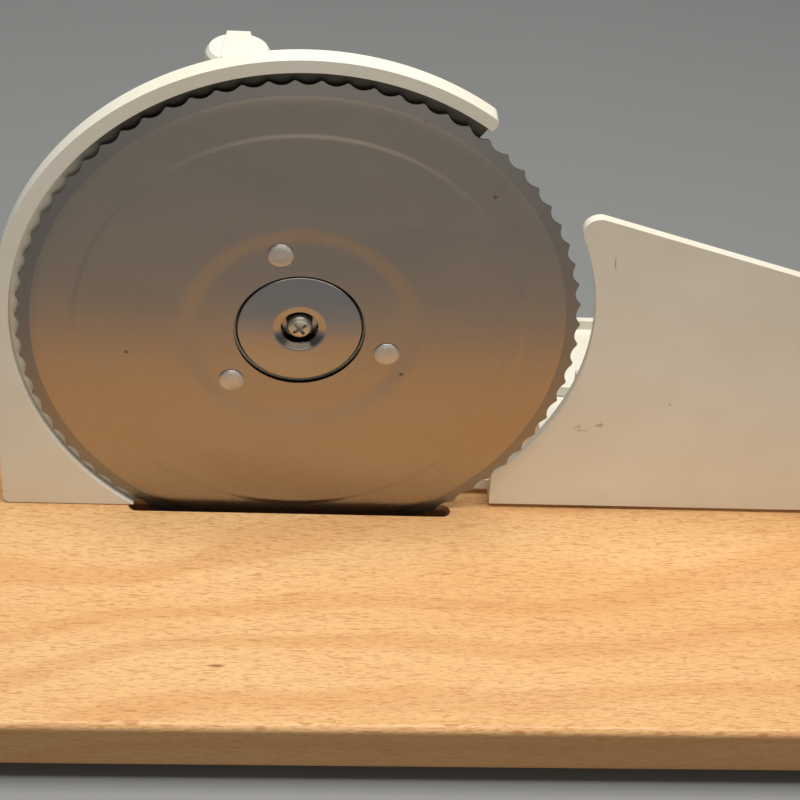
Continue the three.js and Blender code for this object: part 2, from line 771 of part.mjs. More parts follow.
const guardBody = slabY(guardOutline(), -guardFrontProud, guardBack + guardFrontProud, 40);
const guardFlange = block(
  -guardFootFlangeLeft,
  -guardFootFlangeRight,
  guardBack - overshoot,
  guardBack + guardFootFlangeDepth,
  guardFoot,
  guardFoot + guardFootFlangeHeight,
);
const guardRoom = rodY(
  guardInnerRadius,
  -guardFrontProud - overshoot,
  guardFloorFront + guardFrontProud + overshoot,
  0,
  0,
  2 * largeSides,
);
const floorHole = [guardFloorFront - overshoot, guardFloorThickness + 2 * overshoot];
const guardHoles = [
  rodY(bladeGearTipRadius + gearRoom, ...floorHole, 0, 0, largeSides),
  rodY(bushOuterRadius + seatGap, ...floorHole, crankX, crankDrop),
  ...earPlaces.map(([x, z]) => rodY(smallScrew.shank + boltGap, ...floorHole, x, z, holeSides)),
  ...guardScrewX.map((x) =>
    rodZ(
      mediumScrew.shank + boltGap,
      guardFoot - overshoot,
      guardFootFlangeHeight + 2 * overshoot,
      x,
      guardScrewY,
      holeSides,
    ),
  ),
];
const guardSolid = cut(join(guardBody, guardFlange), guardRoom, ...guardHoles);
add("blade_guard", guardSolid, whitePaint, 0, 0, 0, bladeAxis);

guardScrewX.forEach((x, index) => {
  const headFace = footHeight + boardScrewRecess - mediumScrew.height - seatGap;
  const shank = boardTop + guardFootFlangeHeight - headFace - mediumScrew.height;
  const screw = screwY(mediumScrew, shank).rotateX(Math.PI / 2);
  add(`guard_foot_screw_${index + 1}`, screw, zincSteel, x, guardScrewY, headFace);
});

// ---- Gear housing on the guard's back ----

function housingBelt(inset) {
  const bladeSide = bladeGearTipRadius + gearRoom + housingWall - inset;
  const crankSide = driveGearTipRadius + gearRoom + housingWall - inset;
  return beltShape(0, 0, bladeSide, crankX, crankDrop, crankSide);
}

const housingFront = guardBack + seatGap;
const columnHeight = columnTop - columnBottom;
const housingShell = join(
  slabY(housingBelt(0), housingFront, housingBack - housingFront, 20),
  rodZ(columnRadius, columnBottom, columnHeight, spindleX, spindleY),
  block(
    spindleX - columnWeb / 2,
    spindleX + columnWeb / 2,
    housingFront,
    spindleY,
    columnBottom + columnWebInset[0],
    columnTop - columnWebInset[1],
  ),
  rodY(shaftBossRadius, housingBack - overshoot, shaftBossBack - housingBack + overshoot, crankX, crankDrop),
  ...earPlaces.map(([x, z]) => rodY(housingEarRadius, housingFront, housingEarThickness, x, z)),
);
const housingRoom = housingBackFront - housingFront + overshoot;
const earHole = [housingFront - overshoot, housingEarThickness + 2 * overshoot];
add(
  "gear_housing",
  cut(
    housingShell,
    slabY(housingBelt(housingWall), housingFront - overshoot, housingRoom, 20),
    rodZ(spindleRadius + runGap, columnBottom - overshoot, columnHeight + 2 * overshoot, spindleX, spindleY),
    rodY(bushOuterRadius + seatGap, housingBackFront - overshoot, shaftBossBack, crankX, crankDrop),
    ...hubMountHoles,
    ...earPlaces.map(([x, z]) => rodY(smallScrew.shank + boltGap, ...earHole, x, z, holeSides)),
  ),
  whitePaint,
  0,
  0,
  0,
  bladeAxis,
);

// A screw driven towards -Y, with the underside of its head at y = 0.
function screwFromBack(size, shankLength) {
  return screwY(size, shankLength).rotateX(Math.PI).translate(0, size.height, 0);
}

hubMountPlaces.forEach(([x, z], index) => {
  const seat = housingBack + seatGap;
  const screw = screwFromBack(smallScrew, seat - hubFlangeBack + hubMountDepth);
  add(`hub_mount_screw_${index + 1}`, screw, zincSteel, x, seat, z, bladeAxis);
});
earPlaces.forEach(([x, z], index) => {
  const seat = housingFront + housingEarThickness + seatGap;
  const screw = screwFromBack(smallScrew, seat - guardFloorFront - seatGap);
  add(`housing_screw_${index + 1}`, screw, zincSteel, x, seat, z, bladeAxis);
});

// ---- Crank: shaft, gear, bushes, arm and grip ----

const shaftFront = guardFloorFront;
const shaftEnd = armBack - seatGap;
const crankScrewBore = mediumScrew.shank + boltGap;

// The flats on a round shaft, as the two boxes that cut them.
function shaftFlats(halfWidth, from, to) {
  const far = crankShaftRadius * 2;
  return [
    block(halfWidth, far, from, to, -far, far),
    block(-far, -halfWidth, from, to, -far, far),
  ];
}
const crankShaft = cut(
  rodY(crankShaftRadius, shaftFront, shaftEnd - shaftFront),
  ...shaftFlats(shaftFlat, armFront - seatGap, shaftEnd + overshoot),
  rodY(crankScrewBore, shaftEnd - crankScrewDepth - seatGap, crankScrewDepth + 2 * overshoot, 0, 0, holeSides),
);
add("crank_shaft", crankShaft, zincSteel, 0, 0, 0, crankAxis);

function bushRing(flangeRadius, flangeFront, bodyFront, bodyBack) {
  const bore = crankShaftRadius + runGap;
  const profile = [
    [bore, flangeFront],
    [flangeRadius, flangeFront],
    [flangeRadius, bodyFront],
    [bushOuterRadius, bodyFront],
    [bushOuterRadius, bodyBack],
    [bore, bodyBack],
    [bore, flangeFront],
  ];
  return turnedY(profile);
}
const frontBushRadius = bushOuterRadius - frontBushLip;
const frontBush = bushRing(frontBushRadius, guardFloorFront, guardFloorFront + frontBushLip, guardBack);
add("crank_bush_front", frontBush, brass, 0, 0, 0, crankAxis);
const rearBushFront = housingBackFront - seatGap - bushFlangeThickness;
const rearBush = bushRing(
  bushOuterRadius + bushFlangeProud,
  rearBushFront,
  rearBushFront + bushFlangeThickness,
  shaftBossBack + seatGap,
);
add("crank_bush_rear", rearBush, brass, 0, 0, 0, crankAxis);

const driveGearTurn = crankAxisAngle + Math.PI + Math.PI / driveGearTeeth;
const driveGear = slabY(gearShape(gearModule, driveGearTeeth), driveGearFront, driveGearWidth);
driveGear.rotateY(-driveGearTurn);
const throughDriveGear = [driveGearFront - overshoot, driveGearWidth + 2 * overshoot];
const gearCutters = ring(gearLighteningCount, 0, gearLighteningCircle).map(([x, z]) =>
  rodY(gearLighteningRadius, ...throughDriveGear, x, z, screwSides),
);
const driveGearBore = rodY(crankShaftRadius + seatGap / 2, ...throughDriveGear);
const driveGearSolid = cut(driveGear, driveGearBore, ...gearCutters);
add("drive_gear", driveGearSolid, gearPlastic, 0, 0, 0, crankAxis);

const armShape = beltShape(0, 0, crankArmHubRadius, 0, -crankArmLength, crankArmTipRadius);
const throughArm = [armFront - overshoot, crankArmThickness + 2 * overshoot];
const armHole = cut(
  rodY(crankShaftRadius + seatGap, ...throughArm),
  ...shaftFlats(shaftFlat + seatGap, armFront - 2 * overshoot, armBack + 2 * overshoot),
);
const pinHole = rodY(gripPinThread + seatGap, ...throughArm, 0, -crankArmLength);
const crankArm = cut(slabY(armShape, armFront, crankArmThickness, 16), armHole, pinHole);
add("crank_arm", crankArm, whitePaint, 0, 0, 0, crankAxis);

const washerProfile = [
  [crankScrewBore, armBack + seatGap],
  [washerRadius, armBack + seatGap],
  [washerRadius, armBack + seatGap + washerThickness],
  [crankScrewBore, armBack + seatGap + washerThickness],
  [crankScrewBore, armBack + seatGap],
];
add("crank_washer", turnedY(washerProfile), zincSteel, 0, 0, 0, crankAxis);
const crankScrewSeat = armBack + 2 * seatGap + washerThickness;
const crankScrew = screwFromBack(mediumScrew, crankScrewSeat - shaftEnd + crankScrewDepth);
add("crank_screw", crankScrew, zincSteel, 0, crankScrewSeat, 0, crankAxis);

const gripFront = armBack + 2 * seatGap + gripPinCollar;
const gripBack = gripFront + gripLength;
const pinEnd = gripBack - gripScrewRoom + seatGap;
const gripScrewBore = smallScrew.shank + boltGap;
const gripPinProfile = [
  [0, armFront],
  [gripPinThread, armFront],
  [gripPinThread, armBack + seatGap],
  [gripPinRadius + gripPinCollarProud, armBack + seatGap],
  [gripPinRadius + gripPinCollarProud, armBack + seatGap + gripPinCollar],
  [gripPinRadius, armBack + seatGap + gripPinCollar],
  [gripPinRadius, pinEnd],
  [gripScrewBore, pinEnd],
  [gripScrewBore, pinEnd - gripScrewDepth - seatGap],
  [0, pinEnd - gripScrewDepth - seatGap],
];
const gripPin = turnedY(gripPinProfile);
add("grip_pin", gripPin, zincSteel, 0, 0, -crankArmLength, crankAxis);

const gripBore = gripPinRadius + runGap;
const gripScrewHead = gripPinRadius + gripScrewProud;
const gripRecess = gripScrewHead + gripRecessGap;
const gripProfile = [
  [gripBore, gripFront],
  [gripEndRadius - gripEdge, gripFront],
  [gripEndRadius, gripFront + gripEdge],
  [(gripEndRadius + gripRadius) / 2, gripFront + gripSwellStart / 2],
  [gripRadius, gripFront + gripSwellStart],
  [gripRadius, gripBack - gripSwellEnd],
  [gripEndRadius, gripBack - gripEdge],
  [gripEndRadius - gripEdge, gripBack],
  [gripRecess, gripBack],
  [gripRecess, gripBack - gripScrewRoom],
  [gripBore, gripBack - gripScrewRoom],
  [gripBore, gripFront],
];
add("crank_grip", turnedY(gripProfile), whitePlastic, 0, 0, -crankArmLength, crankAxis);
const gripScrewSeat = gripBack - gripScrewRoom + 2 * seatGap;
const gripScrewSize = { head: gripScrewHead, height: smallScrew.height, shank: smallScrew.shank };
const gripScrew = screwFromBack(gripScrewSize, gripScrewSeat - pinEnd + gripScrewDepth);
add("grip_screw", gripScrew, zincSteel, 0, gripScrewSeat, -crankArmLength, crankAxis);

// ---- Slice thickness control: knob, spindle, pinion and rack ----

const knobBottom = columnTop + seatGap;
const knobTop = knobBottom + knobHeight;
const knobBoreTop = knobTop - knobRoof;
const knobProfile = [
  [spindleRadius + seatGap / 2, knobBottom],
  [knobSkirtRadius, knobBottom],
  [knobTopRadius + knobBevel, knobTop - knobBevel],
  [knobTopRadius, knobTop],
  [0, knobTop],
  [0, knobBoreTop],
  [spindleRadius + seatGap / 2, knobBoreTop],
  [spindleRadius + seatGap / 2, knobBottom],
];
const knobGripShape = outline([
  [-knobGripWide / 2, -knobGripLength / 2],
  [knobGripWide / 2, -knobGripLength / 2],
  [knobGripNarrow / 2, knobGripLength / 2],
  [-knobGripNarrow / 2, knobGripLength / 2],
]);
const knobGrip = slabZ(knobGripShape, knobTop - knobRoof / 2, knobGripHeight + knobRoof / 2);
const knob = join(turnedZ(knobProfile), knobGrip);
add("thickness_knob", knob, whitePlastic, spindleX, spindleY, 0, bladeAxis);

const spindleBottom = boardTop - bearingDepth + bearingFloor + seatGap;
const spindleTop = bladeZ + knobBoreTop - seatGap;
const spindle = rodZ(spindleRadius, spindleBottom, spindleTop - spindleBottom);
add("thickness_spindle", spindle, zincSteel, spindleX, spindleY);

const bearingBore = spindleRadius + runGap;
const bearingProfile = [
  [0, boardTop - bearingDepth],
  [bearingRadius, boardTop - bearingDepth],
  [bearingRadius, seatZ],
  [bearingRadius + bearingFlangeProud, seatZ],
  [bearingRadius + bearingFlangeProud, seatZ + bearingFlange],
  [bearingBore, seatZ + bearingFlange],
  [bearingBore, spindleBottom - seatGap],
  [0, spindleBottom - seatGap],
];
add("spindle_bearing", turnedZ(bearingProfile), brass, spindleX, spindleY);

const pinionRadius = (pinionModule * pinionTeeth) / 2;
const pinionBlank = slabZ(gearShape(pinionModule, pinionTeeth), pinionBottom, pinionWidth);
const pinionBore = rodZ(spindleRadius + seatGap / 2, pinionBottom - overshoot, pinionWidth + 2 * overshoot);
const pinion = cut(pinionBlank, pinionBore).rotateZ(Math.PI / pinionTeeth);
add("spindle_pinion", pinion, brass, spindleX, spindleY);

const rackPitchX = spindleX + pinionRadius;
const rackFrom = -rackTravelOut - rackSpare[0];
const rackTo = rackTravelIn + rackSpare[1];
const rackBottom = pinionBottom + (pinionWidth - rackWidth) / 2;
const rackBlank = slabZ(rackShape(pinionModule, rackFrom, rackTo, rackBodyDepth), rackBottom, rackWidth);
const rackScrewPlaces = [rackFrom + carriageBarDepth + rackScrewInset[0], rackTo - rackScrewInset[1]];

// A cylinder along X from xStart.
function rodX(radius, xStart, length, y, z, sides = holeSides) {
  const rod = new THREE.CylinderGeometry(radius, radius, length, sides);
  return rod.rotateZ(Math.PI / 2).translate(xStart + length / 2, y, z);
}
const rackMiddle = rackBottom + rackWidth / 2;
const rackHoles = rackScrewPlaces.map((y) =>
  rodX(
    rackScrewSize.shank + boltGap,
    rackBodyDepth - rackScrewReach - seatGap,
    rackScrewReach + rackLug + 2 * overshoot,
    y,
    rackMiddle,
  ),
);
const rack = cut(rackBlank, ...rackHoles);
add("fence_rack", rack, brass, rackPitchX, spindleY);

// ---- Fence and its carriage ----

const fenceFoot = fenceLift - bladeCentreHeight;

function fenceOutline() {
  const [reachX, reachZ] = polar(fenceArcRadius + fencePeakCorner, fencePeakAngle);
  const peakX = fenceArcX + reachX;
  const peakZ = fenceArcZ + reachZ;
  const peakEnd = Math.PI / 2 - Math.atan(fenceSlope);
  const [cornerX, cornerZ] = polar(fencePeakCorner, peakEnd);
  const topAt = (x) => peakZ + cornerZ - fenceSlope * (x - peakX - cornerX);
  const shape = new THREE.Shape();
  shape.moveTo(fenceLeft, fenceFoot);
  shape.absarc(fenceArcX, fenceArcZ, fenceArcRadius, fenceStepAngle, fencePeakAngle, false);
  shape.absarc(peakX, peakZ, fencePeakCorner, Math.PI + fencePeakAngle, peakEnd, true);
  const turnX = fenceRight - fenceEndCorner;
  shape.lineTo(turnX, topAt(turnX));
  shape.quadraticCurveTo(fenceRight, topAt(fenceRight), fenceRight, topAt(fenceRight) - fenceEndCorner);
  shape.lineTo(fenceRight, fenceFoot);
  return shape;
}

const fenceScrewPlaces = [
  [rodMiddle - fenceScrewSpread, carriageUprightTop - fenceScrewDrop],
  [rodMiddle + fenceScrewSpread, carriageUprightTop - fenceScrewDrop],
  [rodMiddle, carriageBarTop + fenceScrewRise],
];
const fenceScrewHoles = fenceScrewPlaces.map(([x, z]) =>
  rodY(
    smallScrew.shank + boltGap,
    fenceBack - fenceScrewReach - seatGap,
    fenceScrewReach + carriagePlate + 4 * overshoot,
    x,
    z,
    holeSides,
  ),
);
const fenceBlank = join(
  slabY(fenceOutline(), sliceSetting, fenceThickness, 16),
  block(
    fenceLeft,
    fenceLeft + fenceReturnWidth,
    fenceBack - overshoot,
    fenceBack + fenceReturnDepth,
    fenceFoot,
    fenceStepTop,
  ),
);
add("fence_plate", cut(fenceBlank, ...fenceScrewHoles), whitePaint, 0, 0, 0, bladeAxis);

const barFront = spindleY + rackFrom;
const barLeft = rackPitchX + rackBodyDepth + seatGap;
const barBottom = rackBottom - bladeZ;
const uprightLeft = rodMiddle - carriageUprightHalfWidth;
const uprightRight = rodMiddle + carriageUprightHalfWidth;
const carriageBlank = join(
  block(barLeft, uprightRight, barFront, barFront + carriageBarDepth, barBottom, carriageBarTop),
  block(barLeft, barLeft + rackLug, barFront, spindleY + rackTo, barBottom, carriageBarTop),
  block(uprightLeft, uprightRight, uprightFront, uprightBack, barBottom, carriageUprightTop),
  block(
    uprightLeft,
    uprightRight,
    uprightFront,
    uprightFront + carriageBossDepth,
    rodLevel - carriageBossHalfHeight,
    rodLevel + carriageBossHalfHeight,
  ),
);
const carriage = cut(
  carriageBlank,
  ...fenceScrewHoles,
  ...rodPlaces.map((x) => rodY(rodRadius + seatGap / 2, rodStart - seatGap, rodTail, x, rodLevel)),
  ...rackHoles.map((hole) => hole.clone().translate(rackPitchX, spindleY, -bladeZ)),
);
add("fence_carriage", carriage, whitePaint, 0, 0, 0, bladeAxis);

fenceScrewPlaces.forEach(([x, z], index) => {
  const seat = uprightBack + seatGap;
  const screw = screwFromBack(smallScrew, seat - fenceBack + fenceScrewReach);
  add(`fence_screw_${index + 1}`, screw, zincSteel, x, seat, z, bladeAxis);
});
rackScrewPlaces.forEach((y, index) => {
  const seat = barLeft + rackLug + seatGap;
  const reach = seat - rackPitchX - rackBodyDepth + rackScrewReach;
  const screw = screwFromBack(rackScrewSize, reach).rotateZ(-Math.PI / 2);
  add(`rack_screw_${index + 1}`, screw, zincSteel, seat, spindleY + y, rackMiddle);
});

// ---- Guide block with the fence's two rods ----

function guideSlab(front, bottom, top) {
  const corner = guideCorner;
  const shape = new THREE.Shape();
  const left = guideLeft + corner;
  const right = guideRight - corner;
  const near = front + corner;
  const back = guideBack - corner;
  shape.absarc(left, near, corner, Math.PI, 1.5 * Math.PI, false);
  shape.absarc(right, near, corner, 1.5 * Math.PI, 2 * Math.PI, false);
  shape.absarc(right, back, corner, 0, 0.5 * Math.PI, false);
  shape.absarc(left, back, corner, 0.5 * Math.PI, Math.PI, false);
  return slabZ(shape, bottom, top - bottom, 4);
}

const capScrewX = [guideLeft + capScrewInset, guideRight - capScrewInset];
const capScrewHoles = capScrewX.map((x) =>
  rodZ(
    smallScrew.shank + boltGap,
    guideBaseTop - capScrewReach - seatGap,
    guideCapTop - guideBaseTop + capScrewReach + 2 * overshoot,
    x,
    guideScrewY,
    holeSides,
  ),
);
const baseScrewHole = [guardFoot - overshoot, baseScrewReach + overshoot + seatGap];
const baseScrewHoles = baseScrewY.map((y) =>
  rodZ(mediumScrew.shank + boltGap, ...baseScrewHole, rodMiddle, y, holeSides),
);
const rodBores = rodPlaces.map((x) =>
  rodY(rodRadius + runGap, guideFront - 2 * overshoot, guideDepth + 4 * overshoot, x, rodLevel),
);
const hoodFront = guideFront - hoodReach;
const hoodBack = guideFront - seatGap;
const guideHood = block(guideLeft, guideRight, hoodFront, hoodBack, guardFoot, guideDeckTop);
const hoodRoom = block(
  guideLeft + hoodSide,
  guideRight - hoodSide,
  hoodFront - overshoot,
  hoodBack - overshoot,
  guardFoot - overshoot,
  guideDeckTop - hoodRoof,
);
const hoodSlot = block(
  guideLeft - overshoot,
  guideLeft + hoodSide + overshoot,
  hoodFront - overshoot,
  hoodBack - overshoot,
  guardFoot - overshoot,
  hoodSlotHeight - bladeCentreHeight,
);
const guideBlock = block(guideLeft, guideRight, hoodBack - overshoot, guideBack, guardFoot, guideBaseTop);
const guideBase = cut(
  join(guideBlock, guideHood),
  hoodRoom,
  hoodSlot,
  ...capScrewHoles,
  ...baseScrewHoles,
  ...rodBores,
);
add("guide_base", guideBase, whitePaint, 0, 0, 0, bladeAxis);
const guideDeck = guideSlab(guideFront, guideBaseTop + seatGap, guideDeckTop);
add("guide_deck", cut(guideDeck, ...capScrewHoles), whitePaint, 0, 0, 0, bladeAxis);
const guideCap = join(
  guideSlab(guideFront + guideCapSetback, guideDeckTop + seatGap, guideCapTop),
  block(
    guideLeft + guideCorner,
    guideRight - guideCorner,
    guideBack - guideLipDepth,
    guideBack,
    guideDeckTop + seatGap,
    guideLipTop,
  ),
);
add("guide_cap", cut(guideCap, ...capScrewHoles), whitePaint, 0, 0, 0, bladeAxis);

capScrewX.forEach((x, index) => {
  const seat = guideCapTop + seatGap;
  const shank = seat - guideBaseTop + capScrewReach;
  const screw = screwFromBack(smallScrew, shank).rotateX(Math.PI / 2);
  add(`guide_cap_screw_${index + 1}`, screw, zincSteel, x, guideScrewY, seat, bladeAxis);
});
baseScrewY.forEach((y, index) => {
  const headFace = footHeight + boardScrewRecess - mediumScrew.height - seatGap;
  const shank = seatZ + baseScrewReach - headFace - mediumScrew.height;
  const screw = screwY(mediumScrew, shank).rotateX(Math.PI / 2);
  add(`guide_base_screw_${index + 1}`, screw, zincSteel, rodMiddle, y, headFace);
});
rodPlaces.forEach((x, index) => {
  const rod = rodY(rodRadius, rodStart, rodTail - rodStart, 0, 0);
  add(`guide_rod_${index + 1}`, rod, brushedSteel, x, 0, rodLevel, bladeAxis);
});

// ---- The whole, standing on its bounding box's bottom centre ----

const slicer = new THREE.Group();
slicer.add(machine);
machine.updateMatrixWorld(true);
const bounds = new THREE.Box3().setFromObject(machine);
const middle = bounds.getCenter(new THREE.Vector3());
machine.position.set(-middle.x, -middle.y, -bounds.min.z);

export default slicer;
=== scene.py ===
import math

import bmesh
import bpy
import numpy as np
from mathutils import Matrix, Quaternion, Vector


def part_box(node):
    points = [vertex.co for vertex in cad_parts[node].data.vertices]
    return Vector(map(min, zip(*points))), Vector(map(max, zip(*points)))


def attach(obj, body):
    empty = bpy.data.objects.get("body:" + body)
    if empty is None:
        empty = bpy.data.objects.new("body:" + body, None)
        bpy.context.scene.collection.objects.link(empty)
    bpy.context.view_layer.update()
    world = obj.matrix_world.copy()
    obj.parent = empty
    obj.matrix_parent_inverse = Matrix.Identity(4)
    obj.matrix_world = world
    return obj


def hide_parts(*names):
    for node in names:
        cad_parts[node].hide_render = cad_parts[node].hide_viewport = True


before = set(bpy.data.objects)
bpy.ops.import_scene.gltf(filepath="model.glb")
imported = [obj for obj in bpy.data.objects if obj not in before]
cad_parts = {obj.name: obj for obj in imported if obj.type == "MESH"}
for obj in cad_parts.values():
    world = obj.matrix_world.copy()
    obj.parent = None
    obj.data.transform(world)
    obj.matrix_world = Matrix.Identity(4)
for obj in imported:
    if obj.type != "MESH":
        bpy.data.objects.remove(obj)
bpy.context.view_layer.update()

mm = 0.001

# The blade's centre on its front face. Every outline below is in millimetres from here,
# X along the board, Y towards the crank, Z up.
bladeLow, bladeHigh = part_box("slicing_blade")
bladeCentre = Vector(((bladeLow.x + bladeHigh.x) / 2, bladeLow.y, (bladeLow.z + bladeHigh.z) / 2))


def fromBlade(point):
    return tuple((Vector(point) - bladeCentre) / mm)


def boxOf(node):
    low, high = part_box(node)
    return fromBlade(low), fromBlade(high)


def middleOf(node):
    return tuple((a + b) / 2 for a, b in zip(*boxOf(node)))


boardLow, boardHigh = boxOf("base_board")
boardTop = boardHigh[2]


# A socket. Sums and products of sockets add Math nodes.
class Value:
    def __init__(self, tree, socket):
        self.tree = tree
        self.socket = socket

    def maths(self, operation, *others):
        return self.tree.node("ShaderNodeMath", {"operation": operation}, [self, *others])

    def __add__(self, other):
        return self.maths("ADD", other)

    def __sub__(self, other):
        return self.maths("SUBTRACT", other)

    def __mul__(self, other):
        return self.maths("MULTIPLY", other)

    def __truediv__(self, other):
        return self.maths("DIVIDE", other)

    def __rsub__(self, other):
        return self.tree.node("ShaderNodeMath", {"operation": "SUBTRACT"}, [other, self])

    __radd__ = __add__
    __rmul__ = __mul__

    def above(self, edge, width):
        return self.tree.step(self, edge - width / 2, edge + width / 2)

    def below(self, edge, width):
        return 1 - self.above(edge, width)


class Tree:
    def __init__(self, tree):
        self.tree = tree

    def node(self, kind, settings=None, inputs=(), output=0):
        made = self.tree.nodes.new(kind)
        settings = dict(settings or {})
        stops = settings.pop("stops", None)
        for key, value in settings.items():
            setattr(made, key, value)
        if stops:
            ramp = made.color_ramp
            while len(ramp.elements) < len(stops):
                ramp.elements.new(1)
            for element, (place, colour) in zip(ramp.elements, stops):
                element.position = place
                element.color = (*colour, 1)
        pairs = inputs.items() if isinstance(inputs, dict) else enumerate(inputs)
        for key, value in pairs:
            if isinstance(value, Value):
                self.tree.links.new(value.socket, made.inputs[key])
            elif value is not None:
                made.inputs[key].default_value = value
        return Value(self, made.outputs[output])

    def step(self, value, low, high):
        settings = {"interpolation_type": "SMOOTHSTEP", "clamp": True}
        return self.node("ShaderNodeMapRange", settings, {"Value": value, "From Min": low, "From Max": high})

    def parts(self, vector):
        split = self.node("ShaderNodeSeparateXYZ", None, [vector]).socket.node
        return [Value(self, split.outputs[axis]) for axis in range(3)]

    def vector(self, x, y, z):
        return self.node("ShaderNodeCombineXYZ", None, [x, y, z])

    def scaled(self, vector, factors):
        return self.node("ShaderNodeVectorMath", {"operation": "MULTIPLY"}, [vector, factors])

    def moved(self, vector, offset):
        return self.node("ShaderNodeVectorMath", {"operation": "ADD"}, [vector, offset])


# A material on one Principled shader. Coordinates are in millimetres in the row frame.
class Finish(Tree):
    def __init__(self, name, **plain):
        self.material = bpy.data.materials.new(name)
        self.material.use_nodes = True
        super().__init__(self.material.node_tree)
        self.shader = next(n for n in self.tree.nodes if n.type == "BSDF_PRINCIPLED")
        for socket, value in plain.items():
            self.shader.inputs[socket.replace("_", " ")].default_value = value
        coordinates = self.node("ShaderNodeTexCoord", None, (), "Object")
        self.place = self.scaled(coordinates, (1 / mm, 1 / mm, 1 / mm))

    def noise(self, vector, scale, detail=2.0, roughness=0.5, distortion=0.0):
        values = {"Scale": scale, "Detail": detail, "Roughness": roughness, "Distortion": distortion}
        return self.node("ShaderNodeTexNoise", None, {"Vector": vector, **values})

    def cells(self, vector, scale, output="Distance"):
        return self.node("ShaderNodeTexVoronoi", None, {"Vector": vector, "Scale": scale}, output)

    def blend(self, share, first, second):
        inputs = {0: share}
        for index, colour in ((6, first), (7, second)):
            inputs[index] = colour if isinstance(colour, Value) else (*colour, 1)
        return self.node("ShaderNodeMix", {"data_type": "RGBA"}, inputs, 2)

    def feed(self, **sockets):
        for name, value in sockets.items():
            socket = self.shader.inputs[name.replace("_", " ")]
            self.tree.links.new(value.socket, socket)

    # what feeds the base colour so far
    def colour(self):
        return Value(self, self.shader.inputs["Base Color"].links[0].from_socket)

    def bump(self, height, distance, strength=1.0):
        inputs = {"Strength": strength, "Distance": distance * mm, "Height": height}
        return self.node("ShaderNodeBump", None, inputs)


def speckMask(finish, scale, share, size):
    # sparse round specks, one in some of the cells
    tone = finish.parts(finish.cells(finish.place, scale, "Color"))[0]
    return finish.cells(finish.place, scale).below(size, size) * tone.above(1 - share, 0.01)


paintLooks = {
    "guardPaint": {"tone": (0.82, 0.805, 0.735), "rough": 0.42, "grain": 1.3},
    "fencePaint": {"tone": (0.82, 0.80, 0.725), "rough": 0.45, "grain": 1.1},
    "knobPlastic": {"tone": (0.76, 0.76, 0.725), "rough": 0.34, "grain": 0.7},
}


def paintFinish(name, look):
    finish = Finish(name, IOR=1.48)
    tone = look["tone"]
    deep = tuple(c * k for c, k in zip(tone, (0.93, 0.91, 0.86)))
    clouds = finish.noise(finish.place, 0.018, 3.0, 0.6)
    grain = finish.noise(finish.place, look["grain"], 3.0, 0.55)
    specks = speckMask(finish, 0.11, 0.10, 0.05)
    colour = finish.blend(clouds.above(0.5, 0.5), tone, deep)
    colour = finish.blend(specks * 0.6, colour, (0.22, 0.16, 0.10))
    height = grain * 0.7 + finish.noise(finish.place, 0.25, 2.0) * 0.6 - specks * 0.5
    finish.feed(
        Base_Color=colour,
        Roughness=look["rough"] + (clouds - 0.5) * 0.16 + (grain - 0.5) * 0.12,
        Normal=finish.bump(height, 0.11, 0.8),
    )
    return finish


# Handling marks on the fence's face: two faint scuffs and a short scratch.
fenceMarks = {
    "scuffs": [((101.4, -40.6), 3.6), ((107.8, -39.0), 3.0)],
    "scratch": ((103.7, 29.0), 2.6, 0.2),
    "scuffTone": (0.16, 0.13, 0.17), "scratchTone": (0.20, 0.15, 0.09), "depth": 4.0,
}


def fenceFinish(look):
    finish = paintFinish("fencePaint", look)
    x, y, z = finish.parts(finish.moved(finish.place, tuple(-bladeCentre / mm)))
    wander = finish.noise(finish.place, 0.9, 4.0, 0.7)
    streaks = finish.noise(finish.scaled(finish.place, (0.5, 1, 1.6)), 0.8, 3.0, 0.6)
    marks = None
    for (markX, markZ), size in fenceMarks["scuffs"]:
        spread = finish.vector(x - markX, 0, (z - markZ) * 1.7)
        distance = finish.node("ShaderNodeVectorMath", {"operation": "LENGTH"}, [spread], 1)
        near = distance.below(size * 0.6, size) * streaks.above(0.5, 0.12)
        marks = near if marks is None else marks.maths("MAXIMUM", near)
    (lineX, lineZ), length, width = fenceMarks["scratch"]
    across = (x - lineX + (z - lineZ) * 0.12 + (wander - 0.5) * 0.6).maths("ABSOLUTE")
    along = (z - lineZ).maths("ABSOLUTE")
    scratch = across.below(width, width) * along.below(length, 1.5) * wander.above(0.42, 0.2)
    face = y.below(fenceMarks["depth"], 0.5)
    base = finish.blend(marks * face * 0.62, finish.colour(), fenceMarks["scuffTone"])
    finish.feed(Base_Color=finish.blend(scratch * face * 0.75, base, fenceMarks["scratchTone"]))
    return finish


# Painted shade: the guard's floor behind the blade is darkened towards the top of the opening, where the rim
# shades it.
guardFloorShade = {"radius": (80, 97.9), "depth": (-0.1, 4.5), "height": 62, "tone": (0.035, 0.026, 0.018)}


def guardFinish(look):
    finish = paintFinish("guardPaint", look)
    x, y, z = finish.parts(finish.moved(finish.place, tuple(-bladeCentre / mm)))
    radius = (x * x + z * z).maths("SQRT")
    (inner, outer), (front, back) = guardFloorShade["radius"], guardFloorShade["depth"]
    # painted shade on the guard's floor behind the top of the blade
    floorShade = radius.below(outer, 0.4) * radius.above(inner, 4)
    floorShade = floorShade * y.above(front, 0.4) * y.below(back, 1) * z.above(guardFloorShade["height"], 30)
    finish.feed(Base_Color=finish.blend(floorShade * 0.93, finish.colour(), guardFloorShade["tone"]))
    return finish


